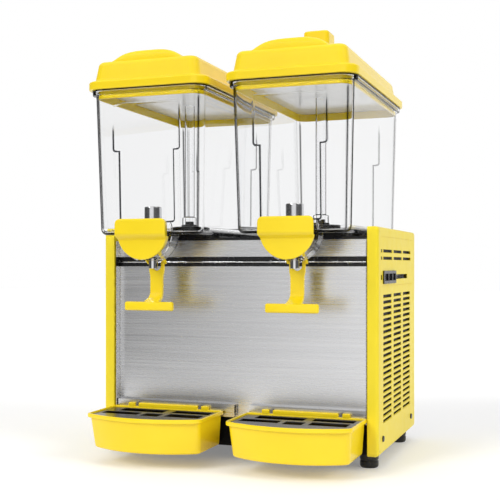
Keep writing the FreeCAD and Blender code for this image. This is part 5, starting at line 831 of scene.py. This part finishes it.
def tray_rings(x, levels, count=29):
    """Level outlines, one for each (z, half width, rear y, corner y, apex y, corner radius): straight back
    and sides, the bow in front, and at each corner the curve (1-t)^2 A + 2t(1-t) C + t^2 B."""
    z, half, rear, corner, apex, radius = (np.asarray(levels, float).T[:, :, None])
    t = np.linspace(0, 1, 8)[None, :]

    def bend(start, middle, end):
        """One number along the curve at a corner."""
        return (1 - t) ** 2 * start + 2 * t * (1 - t) * middle + t ** 2 * end

    inside = 1 - radius / half
    shares = np.linspace(1, -1, count)[None, :] * inside
    front_y = bow(shares, half, corner, apex)
    bend_x = bend(half, half, half * inside)
    bend_y = bend(corner + radius, corner, bow(inside, half, corner, apex))
    back = 0.35 * radius
    rear_x = bend(half - back, half, half)
    rear_y = bend(rear, rear, rear - back)
    px = np.concatenate([rear_x, bend_x, half * shares, -bend_x[:, ::-1], -rear_x[:, ::-1]], 1)
    py = np.concatenate([rear_y, bend_y, front_y, bend_y[:, ::-1], rear_y[:, ::-1]], 1)
    return np.stack([x + px, py, z + 0 * px], -1)


def make_tray(side, x):
    """The drip tray: one skin from the floor outside, up the raked wall, round the rim, over the grate's
    ledge and down inside, with the hooked bar along the back. The inside is darkened with painted shade."""
    def wall(z, inset):
        """One level of the raked wall at z above the tray's bottom."""
        t = z / 51.5
        return [z, 83.5 + 3.5 * t - inset, TRAY_REAR - inset, -158.5 - 9 * t + inset, -183 - 9 * t + inset, 6]

    foot = [[4.0 - up, 79.5 + out, TRAY_REAR - 4.0 + out, -154.8 - out, -179.3 - out, 5]
            for up, out in ((4.0 * math.cos(a), 4.0 * math.sin(a)) for a in np.linspace(0, QUARTER, 7))]
    climb = [wall(z, 0) for z in (8, 23, 38, 44.6)]
    rim = [[45.2, 87.2, -83, -168.4, -192.9, 6], [45.5, 88.6, -83, -169.4, -193.9, 6.4],
           [45.9, 89.6, -83, -170.2, -194.5, 6.6], [46.6, 90, -83, -170.5, -194.8, 6.8],
           [50.3, 90, -83, -170.5, -194.8, 6.8], [51.2, 89.6, -83.1, -170.1, -194.4, 6.6],
           [51.5, 88.9, -83.3, -169.4, -193.7, 6.2], [51.5, 87.9, -84.3, -168.4, -192.7, 5.6],
           [51.2, 87.2, -85.1, -167.7, -192, 5.3], [50.4, 87, -85.4, -167.5, -191.8, 5.2],
           [47.2, 87, -85.5, -167.5, -191.8, 5.2], [47, 86.6, -85.6, -167.1, -191.4, 5],
           [47, 85, -85.9, -165.4, -189.7, 4.4], [46.6, 84.5, -86, -164.9, -189.2, 4.2]]
    descend = [wall(z, 2.6) for z in (44, 38, 23, 10)]
    floor = [[4, 80.8, -85.6, -156.6, -181, 4.5], [2.9, 79.6, -86.4, -155.6, -180, 4.3],
             [2.5, 77.5, -88.4, -153.6, -178, 4]]
    outside = len(foot + climb + rim) - 2
    rings = tray_rings(x, foot + climb + rim + descend + floor)
    rings[..., 2] += TRAY_BOTTOM
    marks = np.zeros((*rings.shape[:2], 2))
    # Edge mark 1 over the inner skin: there the yellow gives way to painted shade
    marks[outside:, :, 0] = 1
    shells = [skin(rings, extra=marks.reshape(-1, 2))]
    hook = (-85.5, -79, 50, 57, 1.8, 1.8)
    shelf = (-84, -79, 48.5, 51.5, 1, 1)
    pad = (-84, -69.3, 4, 12, 1.5, 1.2)
    for a, b, form in ((-66, -54.5, hook), (-49, 49, hook), (54.5, 66, hook), (-86, -65, shelf),
                       (65, 86, shelf), (-74, -58, pad), (58, 74, pad)):
        y0, y1, z0, z1, radius, edge = form
        shells.append(soft_box(x + a, x + b, y0, y1, TRAY_BOTTOM + z0, TRAY_BOTTOM + z1, radius, edge))
    make_piece(side, "tray_basin", shells, "tray", "yellow_gloss", "drip_tray")


def make_grate(side, x):
    """The drip grate: a plate between two grids with long windows, given as x0, x1 from its middle and y0, y1
    from its rear edge. Its rows are straight at y = rear - v, and the last four bend to the tray's bow."""
    windows = [(-66, 6, 5, 31), (18, 78, 5, 28), (-80, -22, 39, 60), (-14, 14, 41, 66), (22, 76, 36, 62)]
    half, corner, straight, rear = 86.3, 5.2, 72, -86.0
    edge = half - np.array([0, 0.4, 1.1, 2.2, 3.6, corner])
    u = np.unique(np.concatenate([edge, -edge, np.linspace(-80, 80, 17)] + [w[:2] for w in windows]))
    v = np.unique(np.concatenate([[0, 34, straight]] + [w[2:] for w in windows]))
    reach = (np.array([0.8, 0.9, 0.96, 1])[:, None] - 0.72) / 0.28
    drop = np.clip(np.abs(u) - 81.3, 0, 5)
    round_off = corner - np.sqrt(corner ** 2 - np.clip(drop, 0, 5.15) ** 2)
    front = bow(u / half, half, -167.1, -191.4) + round_off
    bowed = rear - straight + (front[None, :] - (rear - straight)) * reach
    y = np.concatenate([(rear - v)[:, None] + 0 * u[None, :], bowed])
    top, under = (np.stack([x + u[None, :] + 0 * y, y, 0 * y + z], -1) for z in (GRATE_TOP, GRATE_TOP - 1.95))
    cells = np.concatenate([v, straight + 28.0 * reach[:, 0]])
    plate = windowed(top, under, window_mask(u, cells, windows))
    # The grate takes the darkened steel of painted reflection in place of the brushed stainless
    make_piece(side, "grate_plate", [plate], "grate", "brushed_stainless", "drip_grate", sharp=60, bevel=0.7,
               special=grate_finish)


for side_name, middle in SIDES:
    for make in make_tank, make_pump, make_lid, make_valve, make_cover, make_lever, make_tray, make_grate:
        make(side_name, middle)
    make_side(side_name)
make_front()
make_feet()


# Stage, light and camera

def seen_directly(bench):
    """1 for the rays of the camera, gloss and glass, which show a background, and 1 for gloss alone."""
    rays = bench.add("LightPath").outputs
    first = bench.arithmetic("MAXIMUM", rays["Is Camera Ray"], rays["Is Glossy Ray"])
    return bench.arithmetic("MAXIMUM", first, rays["Is Transmission Ray"]), rays["Is Glossy Ray"]


def make_floor():
    """A broad pale floor, in metres, that shows nearly white beside the object's shadow. It ends near the
    trays, to keep out of the steel's mirror."""
    mesh = bpy.data.meshes.new("studio_floor")
    front = -0.75
    mesh.from_pydata([(-6, front, 0), (6, front, 0), (6, 9, 0), (-6, 9, 0)], [], [(0, 1, 2, 3)])
    floor = placed("studio_floor", mesh)
    material, bench, shader = finish("pale_floor")
    bench.set(shader, Base_Color=(0.92, 0.92, 0.92, 1.0), Roughness=0.8, Specular_IOR_Level=0.1)
    glow = bench.add("Emission", Color=WHITE, Strength=1.8).outputs["Emission"]
    seen, _ = seen_directly(bench)
    bench.blend(bench.arithmetic("MULTIPLY", seen, FLOOR_GLOW), shader.outputs["BSDF"], glow)
    mesh.materials.append(material)


def make_world():
    """A white surround: strength 1 for what the camera and glass see, weaker as fill light, and for gloss a
    bright front with a dark screen on each side."""
    world = bpy.data.worlds.new("white_surround")
    bpy.context.scene.world = world
    world.cycles.sampling_method = "NONE"
    world.use_nodes = True
    bench = Bench(world.node_tree)
    seen, glossy = seen_directly(bench)
    level = bench.ranged(seen, FILL_LEVEL, 1.0, 0.0, 1.0)
    direction = bench.add("SeparateXYZ", [("Vector", bench.add("TexCoord").outputs["Generated"])]).outputs
    azimuth = bench.arithmetic("ARCTAN2", direction["X"], bench.arithmetic("MULTIPLY", direction["Y"], -1.0))
    turn = bench.ranged(azimuth, 0.0, 1.0, -math.pi, math.pi)
    ramp = bench.add("ValToRGB", [("Fac", turn)])
    stops = ramp.color_ramp.elements
    for index, (degrees, value) in enumerate(STUDIO):
        place = (degrees + 180.0) / 360.0
        stop = stops[index] if index < 2 else stops.new(place)
        stop.position = place
        stop.color = (value, value, value, 1.0)
    above = bench.ranged(direction["Z"], 0.0, 0.8, 0.35, 0.6)
    studio = bench.arithmetic("MAXIMUM", ramp.outputs["Color"], above)
    mix = bench.add("Mix", [("Factor", glossy), ("A", level), ("B", studio)]).outputs["Result"]
    bench.set(bench.nodes["Background"], [("Strength", mix)], Color=WHITE)


def soft_sun(name, towards, strength, spread):
    """Even light from one direction with soft shadows, that gloss doesn't mirror."""
    data = bpy.data.lights.new(name, "SUN")
    data.energy = strength
    data.angle = math.radians(spread)
    lamp = placed(name, data)
    x, y, z = towards
    lamp.rotation_euler = (math.atan2(math.hypot(x, y), z), 0.0, math.atan2(x, -y))
    lamp.visible_glossy = False


def make_camera():
    """A level camera with a long lens, to the right of the front, placed in metres."""
    data = bpy.data.cameras.new("view_camera")
    data.sensor_width = 36.0
    data.lens = 68.5
    data.shift_y = 0.03
    data.clip_end = 50.0
    camera = placed("view_camera", data)
    camera.location = (0.498, -1.3932, 0.2901)
    camera.rotation_euler = (QUARTER, 0.0, math.atan2(0.3404, 0.9403))
    bpy.context.scene.camera = camera


WHITE = (1.0, 1.0, 1.0, 1.0)
FLOOR_GLOW = 0.12
FILL_LEVEL = 0.55
# What gloss sees round the horizon: pairs of degrees to the right of the front and brightness
STUDIO = ((-180, 0.95), (-128, 0.9), (-118, 0.12), (-44, 0.08), (-29, 0.16), (-21, 0.62), (-13, 1.08),
          (24, 1.1), (40, 0.12), (112, 0.12), (126, 0.9), (180, 0.95))
make_floor()
make_world()
soft_sun("key_light", (-0.42, -0.72, 0.55), 1.35, 24.0)
soft_sun("side_light", (0.82, -0.27, 0.50), 1.0, 24.0)
soft_sun("top_light", (0.0, -0.10, 0.99), 0.5, 30.0)
make_camera()
bpy.context.scene.view_settings.view_transform = "Standard"
